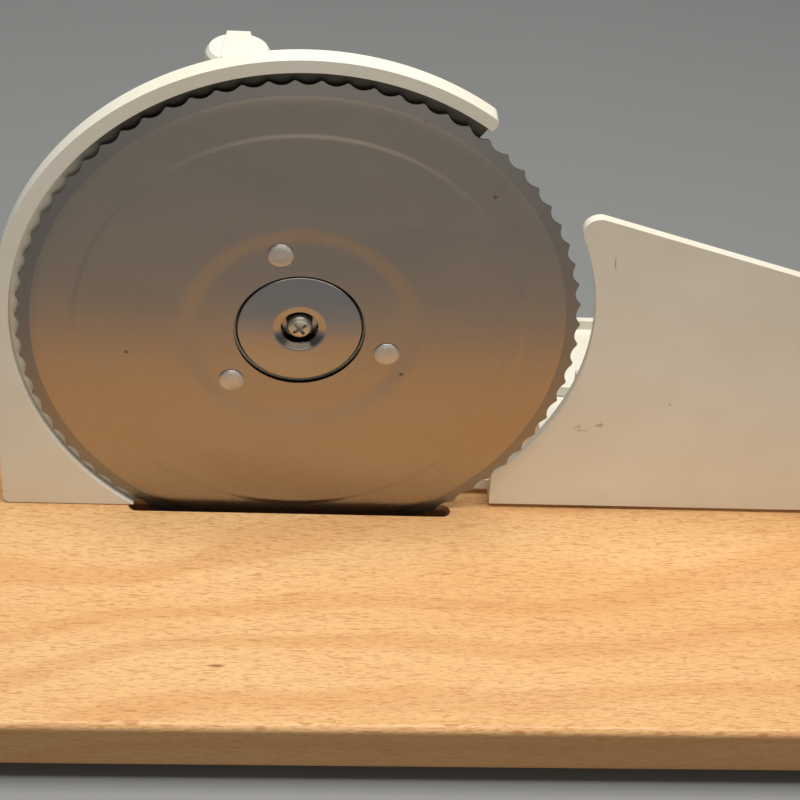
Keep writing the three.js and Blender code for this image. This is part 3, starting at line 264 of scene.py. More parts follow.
beech = {
    "pale": (0.82, 0.53, 0.255), "honey": (0.77, 0.44, 0.18), "tan": (0.66, 0.325, 0.12),
    "fleck": (0.47, 0.19, 0.055), "rimFleck": (0.50, 0.20, 0.055), "knot": (0.26, 0.09, 0.03),
    # "side" is the tone of the painted shade on the board's sides, ends and underside
    "side": (0.345, 0.17, 0.052), "drift": (0.0035, 0.011, 0.011), "waves": 4.6, "rough": 0.46,
    # each layer of flecks: scale along and across the grain, how sparse, offset
    "flecks": [(0.3, 3.0, 0.60, 0.0), (0.17, 2.2, 0.61, 31.0)],
}


def beechFinish():
    finish = Finish("beech", IOR=1.45, Coat_Weight=0.12, Coat_Roughness=0.3)
    x, y, z = finish.parts(finish.place)
    # growth bands: long waves that run along X and drift across the board
    drift = finish.noise(finish.scaled(finish.place, beech["drift"]), 1.0, 2.0, 0.5)
    rings = y * 0.034 + z * 0.06 - x * 0.0075 + drift * beech["waves"]
    rings = (rings * (2 * math.pi)).maths("SINE") * 0.5 + 0.5
    broad = finish.noise(finish.scaled(finish.place, (0.004, 0.02, 0.03)), 1.0, 3.0, 0.55)
    fibres = finish.noise(finish.scaled(finish.place, (0.05, 1.1, 1.4)), 1.0, 4.0, 0.65)
    # short dark flecks that lie along the grain
    flecks = None
    for length, width, edge, shift in beech["flecks"]:
        fleckPlace = finish.vector(x * length + shift, y * width, z * width)
        fleck = finish.noise(fleckPlace, 1.0, 2.0, 0.5, 0.3).above(edge, 0.11)
        flecks = fleck if flecks is None else flecks.maths("MAXIMUM", fleck)
    # wide flecks on the arris, where the rays are cut across
    rim = y.below(boardRow["arrisY"], 0.8) * z.above(boardRow["arrisZ"], 0.8)
    rimPlace = finish.vector(x * 0.13, y * 0.25, z * 0.25)
    rimTone = finish.parts(finish.cells(rimPlace, 1.0, "Color"))[1]
    rimFlecks = finish.cells(rimPlace, 1.0).below(0.34, 0.2) * rimTone.above(0.5, 0.1) * rim
    # one small pin knot
    knotX, knotY = boardRow["knot"]
    knot = finish.vector((x - knotX) * 0.32, y - knotY, 0)
    knotDistance = finish.node("ShaderNodeVectorMath", {"operation": "LENGTH"}, [knot], 1)
    knotMask = (knotDistance + fibres * 0.5).below(0.95, 1.0) * z.above(boardRow["arrisZ"], 0.8)
    colour = finish.blend(broad.above(0.5, 0.36), beech["pale"], beech["honey"])
    colour = finish.blend(rings.above(0.78, 0.36) * 0.42, colour, beech["tan"])
    colour = finish.blend(fibres.above(0.62, 0.3) * 0.22, colour, beech["tan"])
    colour = finish.blend(flecks * 0.64, colour, beech["fleck"])
    colour = finish.blend(rimFlecks * 0.8, colour, beech["rimFleck"])
    colour = finish.blend(knotMask * 0.8, colour, beech["knot"])
    # painted shade: the board's sides, ends and underside are darkened as if less light fell on them
    side = z.below(boardRow["arrisZ"] - 0.4, 1.6)
    colour = finish.blend(side * 0.7, colour, beech["side"])
    height = fibres * 0.5 - flecks * 0.9 - knotMask * 0.4
    finish.feed(
        Base_Color=colour,
        Roughness=beech["rough"] + (fibres - 0.5) * 0.2 + flecks * 0.15,
        Normal=finish.bump(height, 0.05, 0.5),
    )
    return finish


boardRow = {
    "arrisY": (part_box("base_board")[0].y + 0.0022) / mm,
    "arrisZ": (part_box("base_board")[1].z - 0.0022) / mm,
    "knot": (bladeCentre.x / mm - 24.8, bladeCentre.y / mm - 79.3),
}

# "shade" is the band of radii in the gap round the disc, painted dark as shade, "ground" is where the ground
# face starts, and "cup" is the radius of the cup, whose lower half is painted dark as shade.
steelLooks = {
    "bladeSteel": {
        "tone": (0.355, 0.31, 0.27), "rough": 0.285, "rings": 0.35, "shade": (0, 22.1),
        "ground": 89.7, "groundTone": (0.21, 0.215, 0.225),
    },
    "discSteel": {
        "tone": (0.345, 0.325, 0.32), "rough": 0.15, "rings": 0.3, "shade": (20.95, 30),
        "cup": 8.6, "cupShadeTone": (0.08, 0.065, 0.05),
    },
}


def turnedSteel(name, look):
    finish = Finish(name, Metallic=1.0)
    x, y, z = finish.parts(finish.moved(finish.place, tuple(-bladeCentre / mm)))
    radius = (x * x + z * z).maths("SQRT")
    rings = finish.noise(finish.vector(radius * 2.2, 0, 0), 1.0, 4.0, 0.7)
    fine = finish.noise(finish.vector(radius * 7.0, 3.7, 0), 1.0, 2.0, 0.6)
    smears = finish.noise(finish.scaled(finish.place, (0.012, 0.03, 0.03)), 1.0, 4.0, 0.6, 1.2)
    ripples = finish.noise(finish.scaled(finish.place, (0.01, 0.2, 0.2)), 1.0, 2.0, 0.5, 0.4)
    specks = speckMask(finish, 0.075, 0.28, 0.05)
    tone = look["tone"]
    colour = finish.blend(smears.above(0.55, 0.4) * 0.35, tone, tuple(c * 1.12 for c in tone))
    colour = finish.blend(specks * 0.8, colour, (0.16, 0.07, 0.03))
    roughness = look["rough"] + (smears - 0.5) * 0.16 + (fine - 0.5) * 0.06 + specks * 0.3
    height = rings * look["rings"] + fine * 0.25 + ripples * 1.2
    if "ground" in look:
        ground = radius.above(look["ground"], 0.4)
        angle = z.maths("ARCTAN2", x)
        strokes = finish.noise(finish.vector(angle * 180, radius * 0.15, 0), 1.0, 3.0, 0.6)
        colour = finish.blend(ground * 0.7, colour, look["groundTone"])
        roughness = roughness + ground * 0.12
        height = height + ground * strokes * 1.5
    else:
        # painted shade in the lower half of the cup
        cup = radius.below(look["cup"], 0.8) * z.below(-2.5, 3)
        colour = finish.blend(cup * 0.75, colour, look["cupShadeTone"])
    shadeLow, shadeHigh = look["shade"]
    shade = radius.above(shadeLow, 0.1) * radius.below(shadeHigh, 0.1)
    colour = finish.blend(shade * 0.92, colour, (0.03, 0.022, 0.015))
    finish.feed(Base_Color=colour, Roughness=roughness, Normal=finish.bump(height, 0.012, 0.6))
    return finish


metalLooks = {
    "rivetSteel": {"tone": (0.56, 0.55, 0.54), "rough": 0.46},
    "headSteel": {"tone": (0.56, 0.53, 0.46), "rough": 0.42},
    "screwSteel": {"tone": (0.53, 0.51, 0.46), "rough": 0.30},
    "rodSteel": {"tone": (0.60, 0.60, 0.60), "rough": 0.22},
    "aluminium": {"tone": (0.62, 0.62, 0.63), "rough": 0.36},
    "brass": {"tone": (0.66, 0.49, 0.22), "rough": 0.32},
}


def metalFinish(name, look):
    finish = Finish(name, Metallic=1.0)
    grime = finish.noise(finish.place, 0.35, 4.0, 0.65)
    scratches = finish.noise(finish.scaled(finish.place, (2.5, 0.4, 2.5)), 1.0, 3.0, 0.6)
    tone = look["tone"]
    colour = finish.blend(grime.above(0.55, 0.3) * 0.5, tone, tuple(c * 0.72 for c in tone))
    finish.feed(
        Base_Color=colour,
        Roughness=look["rough"] + (grime - 0.5) * 0.25 + (scratches - 0.5) * 0.12,
        Normal=finish.bump(scratches, 0.015, 0.5),
    )
    return finish


def gearFinish():
    finish = Finish("gearPlastic", IOR=1.48)
    clouds = finish.noise(finish.place, 0.12, 3.0)
    grease = finish.noise(finish.place, 0.3, 4.0, 0.7)
    colour = finish.blend(clouds, (0.74, 0.71, 0.60), (0.66, 0.62, 0.50))
    colour = finish.blend(grease.above(0.6, 0.15) * 0.4, colour, (0.42, 0.34, 0.20))
    roughness = 0.5 - grease.above(0.6, 0.15) * 0.22
    finish.feed(Base_Color=colour, Roughness=roughness, Normal=finish.bump(clouds, 0.05, 0.4))
    return finish


def rubberFinish():
    finish = Finish("darkRubber", IOR=1.5)
    dust = finish.noise(finish.place, 0.5, 4.0, 0.7)
    pores = finish.noise(finish.place, 4.0, 2.0)
    colour = finish.blend(dust.above(0.58, 0.3) * 0.6, (0.018, 0.018, 0.019), (0.09, 0.085, 0.08))
    roughness = 0.75 + (pores - 0.5) * 0.3
    finish.feed(Base_Color=colour, Roughness=roughness, Normal=finish.bump(pores, 0.05, 0.5))
    return finish


finishes = {
    "guardPaint": guardFinish(paintLooks["guardPaint"]),
    "knobPlastic": paintFinish("knobPlastic", paintLooks["knobPlastic"]),
    "fencePaint": fenceFinish(paintLooks["fencePaint"]),
    "beech": beechFinish(),
    "bladeSteel": turnedSteel("bladeSteel", steelLooks["bladeSteel"]),
    "discSteel": turnedSteel("discSteel", steelLooks["discSteel"]),
    "gearPlastic": gearFinish(),
    "darkRubber": rubberFinish(),
}
for metalName, metalLook in metalLooks.items():
    finishes[metalName] = metalFinish(metalName, metalLook)
finishes = {name: finish.material for name, finish in finishes.items()}
print("finishes made")


def linked(name, mesh):
    piece = bpy.data.objects.new(name, mesh)
    bpy.context.scene.collection.objects.link(piece)
    return piece


def arc(centre, radius, start, end, steps):
    angles = np.radians(np.linspace(start, end, steps + 1))
    return [(centre[0] + radius * math.cos(a), centre[1] + radius * math.sin(a)) for a in angles]


def curve(start, control, end, steps):
    made = []
    for t in np.linspace(0, 1, steps + 1)[1:]:
        a, b, c = (1 - t) ** 2, 2 * t * (1 - t), t * t
        made.append(tuple(a * p + b * q + c * r for p, q, r in zip(start, control, end)))
    return made


# Rounds the corners of a closed profile.
def softened(points, radius, steps=4):
    made = []
    for index, corner in enumerate(points):
        if corner[0] == 0:
            made.append(corner)
            continue
        here = Vector(corner)
        before = Vector(points[index - 1]) - here
        after = Vector(points[(index + 1) % len(points)]) - here
        start = here + before.normalized() * min(radius, before.length * 0.48)
        end = here + after.normalized() * min(radius, after.length * 0.48)
        made.append(tuple(start))
        made += curve(start, here, end, steps)
    return made


# An outline drawn in X and Z and given depth along Y, or drawn in X and Y and given depth along Z.
def slab(outline, start, end, axis="Y"):
    shape = bmesh.new()
    corners = [(a, start, b) if axis == "Y" else (a, b, start) for a, b in outline]
    face = shape.faces.new([shape.verts.new(corner) for corner in corners])
    made = bmesh.ops.extrude_face_region(shape, geom=[face])
    depth = (0, end - start, 0) if axis == "Y" else (0, 0, end - start)
    moved = [part for part in made["geom"] if isinstance(part, bmesh.types.BMVert)]
    bmesh.ops.translate(shape, verts=moved, vec=depth)
    return fromShape(shape)


def fromShape(shape):
    bmesh.ops.remove_doubles(shape, verts=shape.verts, dist=1e-4)
    bmesh.ops.recalc_face_normals(shape, faces=shape.faces)
    mesh = bpy.data.meshes.new("blank")
    shape.to_mesh(mesh)
    shape.free()
    return linked("blank", mesh)


# A plate with round corners seen from above.
def roundedSlab(low, high, corner, steps=8):
    outline = []
    corners = (
        (low[0] + corner, low[1] + corner, 180), (high[0] - corner, low[1] + corner, 270),
        (high[0] - corner, high[1] - corner, 0), (low[0] + corner, high[1] - corner, 90),
    )
    for x, y, start in corners:
        outline += arc((x, y), corner, start, start + 90, steps)
    return slab(outline, low[2], high[2], "Z")


def block(low, high):
    outline = [(low[0], low[2]), (high[0], low[2]), (high[0], high[2]), (low[0], high[2])]
    return slab(outline, low[1], high[1])


# A closed profile of (radius, level) turned about a line along X, Y or Z through the centre.
def turned(profile, centre=(0, 0, 0), axis="Y", segments=128):
    turns = {
        "X": lambda r, level, c, s: (level, r * c, r * s),
        "Y": lambda r, level, c, s: (r * c, level, r * s),
        "Z": lambda r, level, c, s: (r * c, r * s, level),
    }
    shape = bmesh.new()
    rings = []
    for step in range(segments):
        angle = 2 * math.pi * step / segments
        c, s = math.cos(angle), math.sin(angle)
        rings.append([shape.verts.new(turns[axis](r, level, c, s)) for r, level in profile])
    for step, ring in enumerate(rings):
        other = rings[(step + 1) % segments]
        for index in range(len(profile)):
            after = (index + 1) % len(profile)
            if profile[index][0] == 0 and profile[after][0] == 0:
                continue
            shape.faces.new([ring[index], ring[after], other[after], other[index]])
    bmesh.ops.translate(shape, verts=shape.verts, vec=centre)
    return fromShape(shape)


def rod(radius, start, end, centre, axis="Y", segments=96):
    return turned([(0, start), (radius, start), (radius, end), (0, end)], centre, axis, segments)


def converted(piece):
    depsgraph = bpy.context.evaluated_depsgraph_get()
    mesh = bpy.data.meshes.new_from_object(piece.evaluated_get(depsgraph), depsgraph=depsgraph)
    piece.modifiers.clear()
    piece.data = mesh
    return piece


def combined(base, operation, *others):
    for other in others:
        change = base.modifiers.new("combine", "BOOLEAN")
        change.operation = operation
        change.solver = "MANIFOLD"
        change.object = other
        bpy.context.view_layer.update()
        converted(base)
        bpy.data.objects.remove(other)
    return base


# Rounded edges with flat faces kept flat.
def eased(piece, width, segments=3, angle=32):
    shape = bmesh.new()
    shape.from_mesh(piece.data)
    bmesh.ops.remove_doubles(shape, verts=shape.verts, dist=1e-4)
    bmesh.ops.dissolve_limit(shape, angle_limit=math.radians(0.3), verts=shape.verts, edges=shape.edges)
    shape.to_mesh(piece.data)
    shape.free()
    bevel = piece.modifiers.new("bevel", "BEVEL")
    bevel.width = width
    bevel.segments = segments
    bevel.limit_method = "ANGLE"
    bevel.angle_limit = math.radians(angle)
    bevel.miter_outer = "MITER_ARC"
    return converted(piece)


# Gives a piece its name, finish, place and body.
def settled(piece, name, finish, body, replaced=(), sharp=40):
    piece.name = name
    piece.data.name = name
    if finish is not None:
        piece.data.materials.clear()
        piece.data.materials.append(finishes[finish])
    piece.data.transform(Matrix.Translation(bladeCentre) @ Matrix.Scale(mm, 4))
    piece.data.polygons.foreach_set("use_smooth", [True] * len(piece.data.polygons))
    piece.data.set_sharp_from_angle(angle=math.radians(sharp))
    weights = piece.modifiers.new("flat faces", "WEIGHTED_NORMAL")
    weights.keep_sharp = True
    converted(piece)
    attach(piece, body)
    if replaced:
        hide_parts(*replaced)
    return piece


class Growth(Tree):
    def __init__(self, name, inputs):
        group = bpy.data.node_groups.new(name, "GeometryNodeTree")
        super().__init__(group)
        group.interface.new_socket(name="Geometry", in_out="INPUT", socket_type="NodeSocketGeometry")
        group.interface.new_socket(name="Geometry", in_out="OUTPUT", socket_type="NodeSocketGeometry")
        self.identifiers = {}
        for title, kind in inputs.items():
            socket = group.interface.new_socket(name=title, in_out="INPUT", socket_type="NodeSocket" + kind)
            self.identifiers[title] = socket.identifier
        entry = group.nodes.new("NodeGroupInput")
        self.given = {socket.name: Value(self, socket) for socket in entry.outputs if socket.name}

    def finished(self, geometry):
        out = self.tree.nodes.new("NodeGroupOutput")
        self.tree.links.new(geometry.socket, out.inputs[0])
        return self

    def joined(self, *parts):
        join = self.tree.nodes.new("GeometryNodeJoinGeometry")
        for part in reversed(parts):
            self.tree.links.new(part.socket, join.inputs[0])
        return Value(self, join.outputs[0])

    def shifted(self, geometry, offset):
        return self.node("GeometryNodeTransform", None, {"Geometry": geometry, "Translation": offset})

    def placed(self, geometry, offset):
        return self.node("GeometryNodeSetPosition", None, {"Geometry": geometry, "Offset": offset})

    def cylinder(self, radius, depth, around, rows=1, rings=1):
        sizes = {"Vertices": around, "Side Segments": rows, "Fill Segments": rings}
        inputs = {**sizes, "Radius": radius, "Depth": depth}
        return self.node("GeometryNodeMeshCylinder", {"fill_type": "TRIANGLE_FAN"}, inputs)

    def copies(self, points, instance, rotation):
        inputs = {"Points": points, "Instance": instance, "Rotation": rotation}
        placed = self.node("GeometryNodeInstanceOnPoints", None, inputs)
        return self.node("GeometryNodeRealizeInstances", None, [placed])

    def coloured(self, geometry):
        inputs = {"Geometry": geometry, "Material": self.given["Finish"]}
        return self.node("GeometryNodeSetMaterial", None, inputs)

    def grownOn(self, piece, values):
        change = piece.modifiers.new("growth", "NODES")
        change.node_group = self.tree
        for title, value in values.items():
            change[self.identifiers[title]] = value
        bpy.context.view_layer.update()
        return converted(piece)


# Round-headed fasteners, one on each point, with an optional cross recess.
def fastenerTree():
    sizes = [
        "Head Radius", "Head Height", "Dome", "Shank Radius", "Shank Length", "Cross Width", "Cross Depth",
    ]
    tree = Growth("fasteners", {**{size: "Float" for size in sizes}, "Finish": "Material"})
    headRadius, headHeight, dome, shankRadius, shankLength, crossWidth, crossDepth = (
        tree.given[size] for size in sizes
    )
    blank = tree.cylinder(headRadius, headHeight, 40, 5, 6)
    blank = tree.shifted(blank, tree.vector(0, 0, headHeight * 0.5))
    x, y, z = tree.parts(tree.node("GeometryNodeInputPosition"))
    reach = (x * x + y * y).maths("SQRT") / headRadius
    rise = (z / headHeight).maths("MAXIMUM", 0)
    drop = rise * dome * headHeight * reach.maths("POWER", 4) * -1
    draw = rise.maths("POWER", 5) * reach.maths("POWER", 8) * -0.09
    head = tree.placed(blank, tree.vector(x * draw, y * draw, drop))
    length = headRadius * 1.25
    top = tree.vector(0, 0, headHeight)
    arms = []
    for size in ((length, crossWidth), (crossWidth, length)):
        arm = tree.node("GeometryNodeMeshCube", None, [tree.vector(*size, crossDepth * 2)])
        arms.append(tree.shifted(arm, top))
    middle = tree.shifted(tree.cylinder(crossWidth * 0.95, crossDepth * 2.3, 12), top)
    recess = head
    for tool in (*arms, middle):
        settings = {"operation": "DIFFERENCE", "solver": "MANIFOLD"}
        recess = tree.node("GeometryNodeMeshBoolean", settings, {0: recess, 1: tool})
    hasCross = tree.node("FunctionNodeCompare", {"operation": "GREATER_THAN"}, [crossDepth, 0.01])
    head = tree.node("GeometryNodeSwitch", {"input_type": "GEOMETRY"}, [hasCross, head, recess])
    shank = tree.cylinder(shankRadius, shankLength, 24)
    shank = tree.shifted(shank, tree.vector(0, 0, shankLength * -0.5 + 0.05))
    facing = tree.node("GeometryNodeInputNamedAttribute", {"data_type": "FLOAT_VECTOR"}, ["facing"])
    made = tree.copies(tree.given["Geometry"], tree.joined(head, shank), facing)
    return tree.finished(tree.coloured(made))


# Hollows cut through the blade's rim. The ground face keeps its slope, so the edge is thicker in a hollow.
def scallopTree():
    sizes = ("Teeth", "First Tip", "Depth", "Radius", "Slope", "Back")
    tree = Growth("scallops", {**{size: "Float" for size in sizes}, "Finish": "Material"})
    given = tree.given
    x, y, z = tree.parts(tree.node("GeometryNodeInputPosition"))
    radius = (x * x + z * z).maths("SQRT")
    turn = (z.maths("ARCTAN2", x) - given["First Tip"]) * given["Teeth"] / (2 * math.pi)
    share = turn.maths("FRACT") * 2 - 1
    hollow = (1 - share * share) * given["Depth"]
    start = given["Radius"] - given["Depth"] * 1.6
    reach = ((radius - start) / (given["Radius"] - start)).maths("MAXIMUM", 0)
    inward = hollow * reach
    shift = inward / radius * -1
    forward = inward * given["Slope"] * y.maths("LESS_THAN", given["Back"]) * -1
    shaped = tree.placed(given["Geometry"], tree.vector(x * shift, forward, z * shift))
    return tree.finished(tree.coloured(shaped))


# Upright ribs in a ring around a knob's skirt.
def ribTree():
    sizes = {"Count": "Int", "Ring": "Float", "Rib": "Float", "Height": "Float"}
    tree = Growth("ribs", {**sizes, "Finish": "Material"})
    given = tree.given
    ring = tree.node("GeometryNodeMeshCircle", None, {"Vertices": given["Count"], "Radius": given["Ring"]})
    rib = tree.cylinder(given["Rib"], given["Height"], 10)
    rib = tree.shifted(rib, tree.vector(0, 0, given["Height"] * 0.5))
    x, y, z = tree.parts(tree.node("GeometryNodeInputPosition"))
    made = tree.copies(ring, rib, tree.vector(0, 0, 0))
    lean = z * -0.09
    size = (x * x + y * y).maths("SQRT")
    made = tree.placed(made, tree.vector(x / size * lean, y / size * lean, 0))
    return tree.finished(tree.coloured(tree.joined(tree.given["Geometry"], made)))


fasteners = fastenerTree()
scallops = scallopTree()
ribs = ribTree()
print("node trees made")


board = {
    "corner": 5, "arris": 2.3, "slotWidth": 6.6, "slotFront": 3.2, "slotEndGap": 4, "ease": 0.35,
    "bearing": 5.3, "bearingDepth": 5.3,
}
blade = {
    "radius": 95, "teeth": 72, "firstTip": 3.3, "scallop": 1.8, "ground": 5.3, "edge": 0.35,
    "thickness": 1.2, "setback": 0.24, "centre": 0.6, "hole": 22, "groundSoft": 1.8, "segments": 720,
    "innerStep": (33.8, 42.6), "outerStep": (74.3, 76.8),
}


def makeBoard():
    piece = eased(roundedSlab(boardLow, boardHigh, board["corner"], 12), board["arris"], 5)
    chord = math.sqrt(blade["radius"] ** 2 - boardTop ** 2)
    end = board["slotWidth"] / 2
    reach = chord + board["slotEndGap"] - end
    middle = end - board["slotFront"]
    slot = arc((-reach, middle), end, 90, 270, 16) + arc((reach, middle), end, 270, 450, 16)
    bearingX, bearingY = middleOf("spindle_bearing")[:2]
    bearingFloor = boardTop - board["bearingDepth"]
    bearingHole = rod(board["bearing"], bearingFloor, boardTop + 1, (bearingX, bearingY, 0), "Z")
    combined(piece, "DIFFERENCE", slab(slot, boardLow[2] - 1, boardTop + 1, "Z"), bearingHole)
    eased(piece, board["ease"], 2, 50)
    settled(piece, "beech_board", "beech", "frame", ["base_board"])


footCorners = ("front_left", "front_right", "back_left", "back_right")
footSizes = {"bore": 1.9, "recess": 4, "recessDepth": 3.4, "chamfer": 1.2, "taper": 0.5}


def makeFoot(node, piece):
    low, high = boxOf(node)
    centre = (*middleOf(node)[:2], 0)
    radius = (high[0] - low[0]) / 2
    bore, recess, chamfer = footSizes["bore"], footSizes["recess"], footSizes["chamfer"]
    seat = low[2] + footSizes["recessDepth"]
    profile = [
        (bore, high[2]), (bore, seat), (recess, seat), (recess, low[2]),
        (radius - chamfer, low[2]), (radius, low[2] + chamfer), (radius - footSizes["taper"], high[2]),
    ]
    turnedFoot = turned(softened(profile, 0.5), centre, "Z", 64)
    settled(turnedFoot, piece, "darkRubber", "frame", [node])


makeBoard()
for corner in footCorners:
    makeFoot("foot_" + corner, "rubber_foot_" + corner)
print("board and feet made")


def makeBlade():
    rim, setback, thick = blade["radius"], blade["setback"], blade["thickness"]
    edge = setback + thick - blade["edge"]
    ground = rim - blade["scallop"] - blade["ground"]
    slope = (edge - setback) / (rim - ground)
    front = [(blade["hole"], blade["centre"])]
    front += [(r, blade["centre"]) for r in np.linspace(24, 33.2, 5)]
    front += steppedFace(*blade["innerStep"], blade["centre"], 0, 16)
    front += [(r, 0) for r in np.linspace(43.6, 73.6, 12)]
    front += steppedFace(*blade["outerStep"], 0, setback, 8)
    soft = blade["groundSoft"]
    front += [(r, setback) for r in np.linspace(78, ground - soft, 5)]
    front += [
        (r, setback + slope * (r - ground + soft) ** 2 / (4 * soft))
        for r in np.linspace(ground - soft, ground + soft, 12)[1:]
    ]
    front += [(r, setback + slope * (r - ground)) for r in np.linspace(ground + soft, rim - 0.04, 7)[1:]]
    rear = [(rim, edge + 0.06), (rim, setback + thick - 0.05), (rim - 0.06, setback + thick)]
    rear += [(r, setback + thick) for r in np.linspace(rim - 0.8, 78, 5)]
    rear += [(r, level + thick) for r, level in steppedFace(*blade["outerStep"], 0, setback, 8)[::-1]]
    rear += [(r, thick) for r in np.linspace(72, 43, 6)]
    rear += [(r, level + thick) for r, level in steppedFace(*blade["innerStep"], blade["centre"], 0, 16)[::-1]]
    rear += [(blade["hole"], blade["centre"] + thick)]
    piece = turned(front + rear, segments=blade["segments"])
    values = {
        "Teeth": float(blade["teeth"]), "First Tip": math.radians(blade["firstTip"]),
        "Depth": float(blade["scallop"]), "Radius": float(rim), "Slope": slope,
        "Back": setback + thick - 0.2, "Finish": finishes["bladeSteel"],
    }
    scallops.grownOn(piece, values)
    settled(piece, "scalloped_blade", None, "blade", ["slicing_blade"])


# A pressed step between two levels, as a smooth run.
def steppedFace(start, end, levelStart, levelEnd, steps=7):
    made = []
    for t in np.linspace(0, 1, steps + 1):
        ease = t * t * (3 - 2 * t)
        made.append((start + (end - start) * t, levelStart + (levelEnd - levelStart) * ease))
    return made


# The disc stands a little proud of the blade, with a flared cup that takes the screw.
hubDisc = {
    "proud": 0.6, "hole": 2.5, "cupFloor": 6.1, "cupNeck": 6.25, "cupMouth": 8.9, "cupDepth": 4.3,
    "flare": 0.9, "edge": 0.45, "thickness": 2.4, "neck": 7.4, "neckDepth": 5.5,
}


def makeHub():
    discLow, discHigh = boxOf("hub_disc")
    face, radius = discLow[1] - hubDisc["proud"], (discHigh[0] - discLow[0]) / 2
    cupFloor, back, neckEnd = (face + hubDisc[key] for key in ("cupDepth", "thickness", "neckDepth"))
    hole, neck, edge = hubDisc["hole"], hubDisc["neck"], hubDisc["edge"]
    profile = [
        (hole, cupFloor), (hubDisc["cupFloor"], cupFloor), (hubDisc["cupNeck"], face + hubDisc["flare"]),
        (hubDisc["cupMouth"], face), (radius - edge, face), (radius, face + edge), (radius, back),
        (neck, back), (neck, neckEnd), (hole, neckEnd),
    ]
    disc = turned(softened(profile, 0.35, 5), segments=192)
    settled(disc, "pressed_hub_disc", "discSteel", "frame", ["hub_disc"])


makeBlade()
makeHub()

# Screws and rivets, from the CAD nodes that they stand for: which way the head faces, and the head's sizes.
facings = {
    "-Y": (90, 0, 0), "+Y": (-90, 0, 0), "+Z": (0, 0, 0), "-Z": (180, 0, 0), "+X": (0, 90, 0),
}


def numbered(name, count):
    return [f"{name}_{n}" for n in range(1, count + 1)]


fastenerSets = {
    "hub_centre_screw": {
        "nodes": ["hub_screw"], "facing": "-Y", "height": 2.4, "cross": (1.15, 1.5), "spin": 38, "lift": 2.2,
        "dome": 0.4, "finish": "headSteel", "slot": "brushed_steel",
    },
    "blade_rivets": {
        "nodes": numbered("blade_rivet", 3), "facing": "-Y", "height": 0.8, "dome": 0.45,
        "cross": (0, 0), "finish": "rivetSteel", "body": "blade", "slot": "brushed_steel", "lift": 0.65,
    },
    "guard_foot_screws": {
        "nodes": numbered("guard_foot_screw", 3), "facing": "-Z", "height": 2.4, "cross": (1.2, 1.2),
    },
    "guide_foot_screws": {
        "nodes": numbered("guide_base_screw", 2), "facing": "-Z", "height": 2.4, "cross": (1.2, 1.2),
    },
    "rubber_foot_screws": {
        "nodes": ["foot_screw_" + corner for corner in footCorners],
        "facing": "-Z", "height": 2.0, "cross": (0.95, 1.0),
    },
    "housing_screws": {
        "nodes": numbered("housing_screw", 4), "facing": "+Y", "height": 2.0, "cross": (0.95, 1.0),
    },
    "hub_mounting_screws": {
        "nodes": numbered("hub_mount_screw", 3), "facing": "+Y", "height": 2.0, "cross": (0.95, 1.0),
    },
    "guide_cap_screws": {
        "nodes": numbered("guide_cap_screw", 2), "facing": "+Z", "height": 2.0, "cross": (0.95, 1.0),
    },
    "fence_fixing_screws": {
        "nodes": numbered("fence_screw", 3), "facing": "+Y", "height": 2.0, "cross": (0.95, 1.0),
        "body": "fence",
    },
    "rack_fixing_screws": {
        "nodes": numbered("rack_screw", 2), "facing": "+X", "height": 1.4, "cross": (0.6, 0.8),
        "body": "fence",
    },
    "crank_centre_screw": {
        "nodes": ["crank_screw"], "facing": "+Y", "height": 2.4, "cross": (1.2, 1.2), "body": "crank",
    },
    "grip_end_screw": {
        "nodes": ["grip_screw"], "facing": "+Y", "height": 2.0, "cross": (1.1, 1.1), "body": "crank",
    },
}


def makeFasteners(name, row):
    facing = row["facing"]
    axis = "XYZ".index(facing[1])
    outward = 1 if facing[0] == "+" else -1
    across = 0 if axis != 0 else 1
    tilt = Matrix.Rotation(0, 3, "X")
    for letter, angle in zip("XYZ", facings[facing]):
        tilt = Matrix.Rotation(math.radians(angle), 3, letter) @ tilt
    points, turns = [], []
    lift = row.get("lift", 0)
    for index, node in enumerate(row["nodes"]):
        low, high = boxOf(node)
        seat = [(a + b) / 2 for a, b in zip(low, high)]
        seat[axis] = (high if outward > 0 else low)[axis] - outward * (row["height"] - lift)
        points.append(seat)
        spin = Matrix.Rotation(math.radians(row.get("spin", 20) + index * 37), 3, "Z")
        turns += list((tilt @ spin).to_euler("XYZ"))
    mesh = bpy.data.meshes.new(name)
    mesh.from_pydata(points, [], [])
    mesh.attributes.new("facing", "FLOAT_VECTOR", "POINT").data.foreach_set("vector", turns)
    piece = linked(name, mesh)
    shankLength = high[axis] - low[axis] - row["height"] + lift
    headRadius = (high[across] - low[across]) / 2
    values = {
        "Head Radius": headRadius, "Head Height": row["height"], "Dome": row.get("dome", 0.5),
        "Shank Radius": headRadius * 0.48, "Shank Length": shankLength,
        "Cross Width": float(row["cross"][0]), "Cross Depth": float(row["cross"][1]),
        "Finish": finishes[row.get("finish", "screwSteel")],
    }
    fasteners.grownOn(piece, values)
    settled(piece, name, None, row.get("body", "frame"), row["nodes"], 45)


for setName, setRow in fastenerSets.items():
    makeFasteners(setName, setRow)
print("blade, hub and fasteners made")


guard = {
    "inner": 97, "outer": 102.4, "end": 54.4, "footLeft": -101.8, "footCorner": 2.5, "front": -0.4,
    "floor": 3.6, "back": 6.6, "floorRight": 46, "floorRise": 38.8, "floorBend": 7.6, "floorLap": 4,
    "flange": (-98, -42, 20.6, 6), "endCorner": 2.6, "openingCentre": (0.5, 0.9), "ease": 0.85,
    "gearHole": 40.25, "bushHole": 7.3,
}
crankX, crankZ = middleOf("crank_shaft")[::2]
spindleX, spindleY = middleOf("thickness_spindle")[:2]
foot = boardTop + 0.3


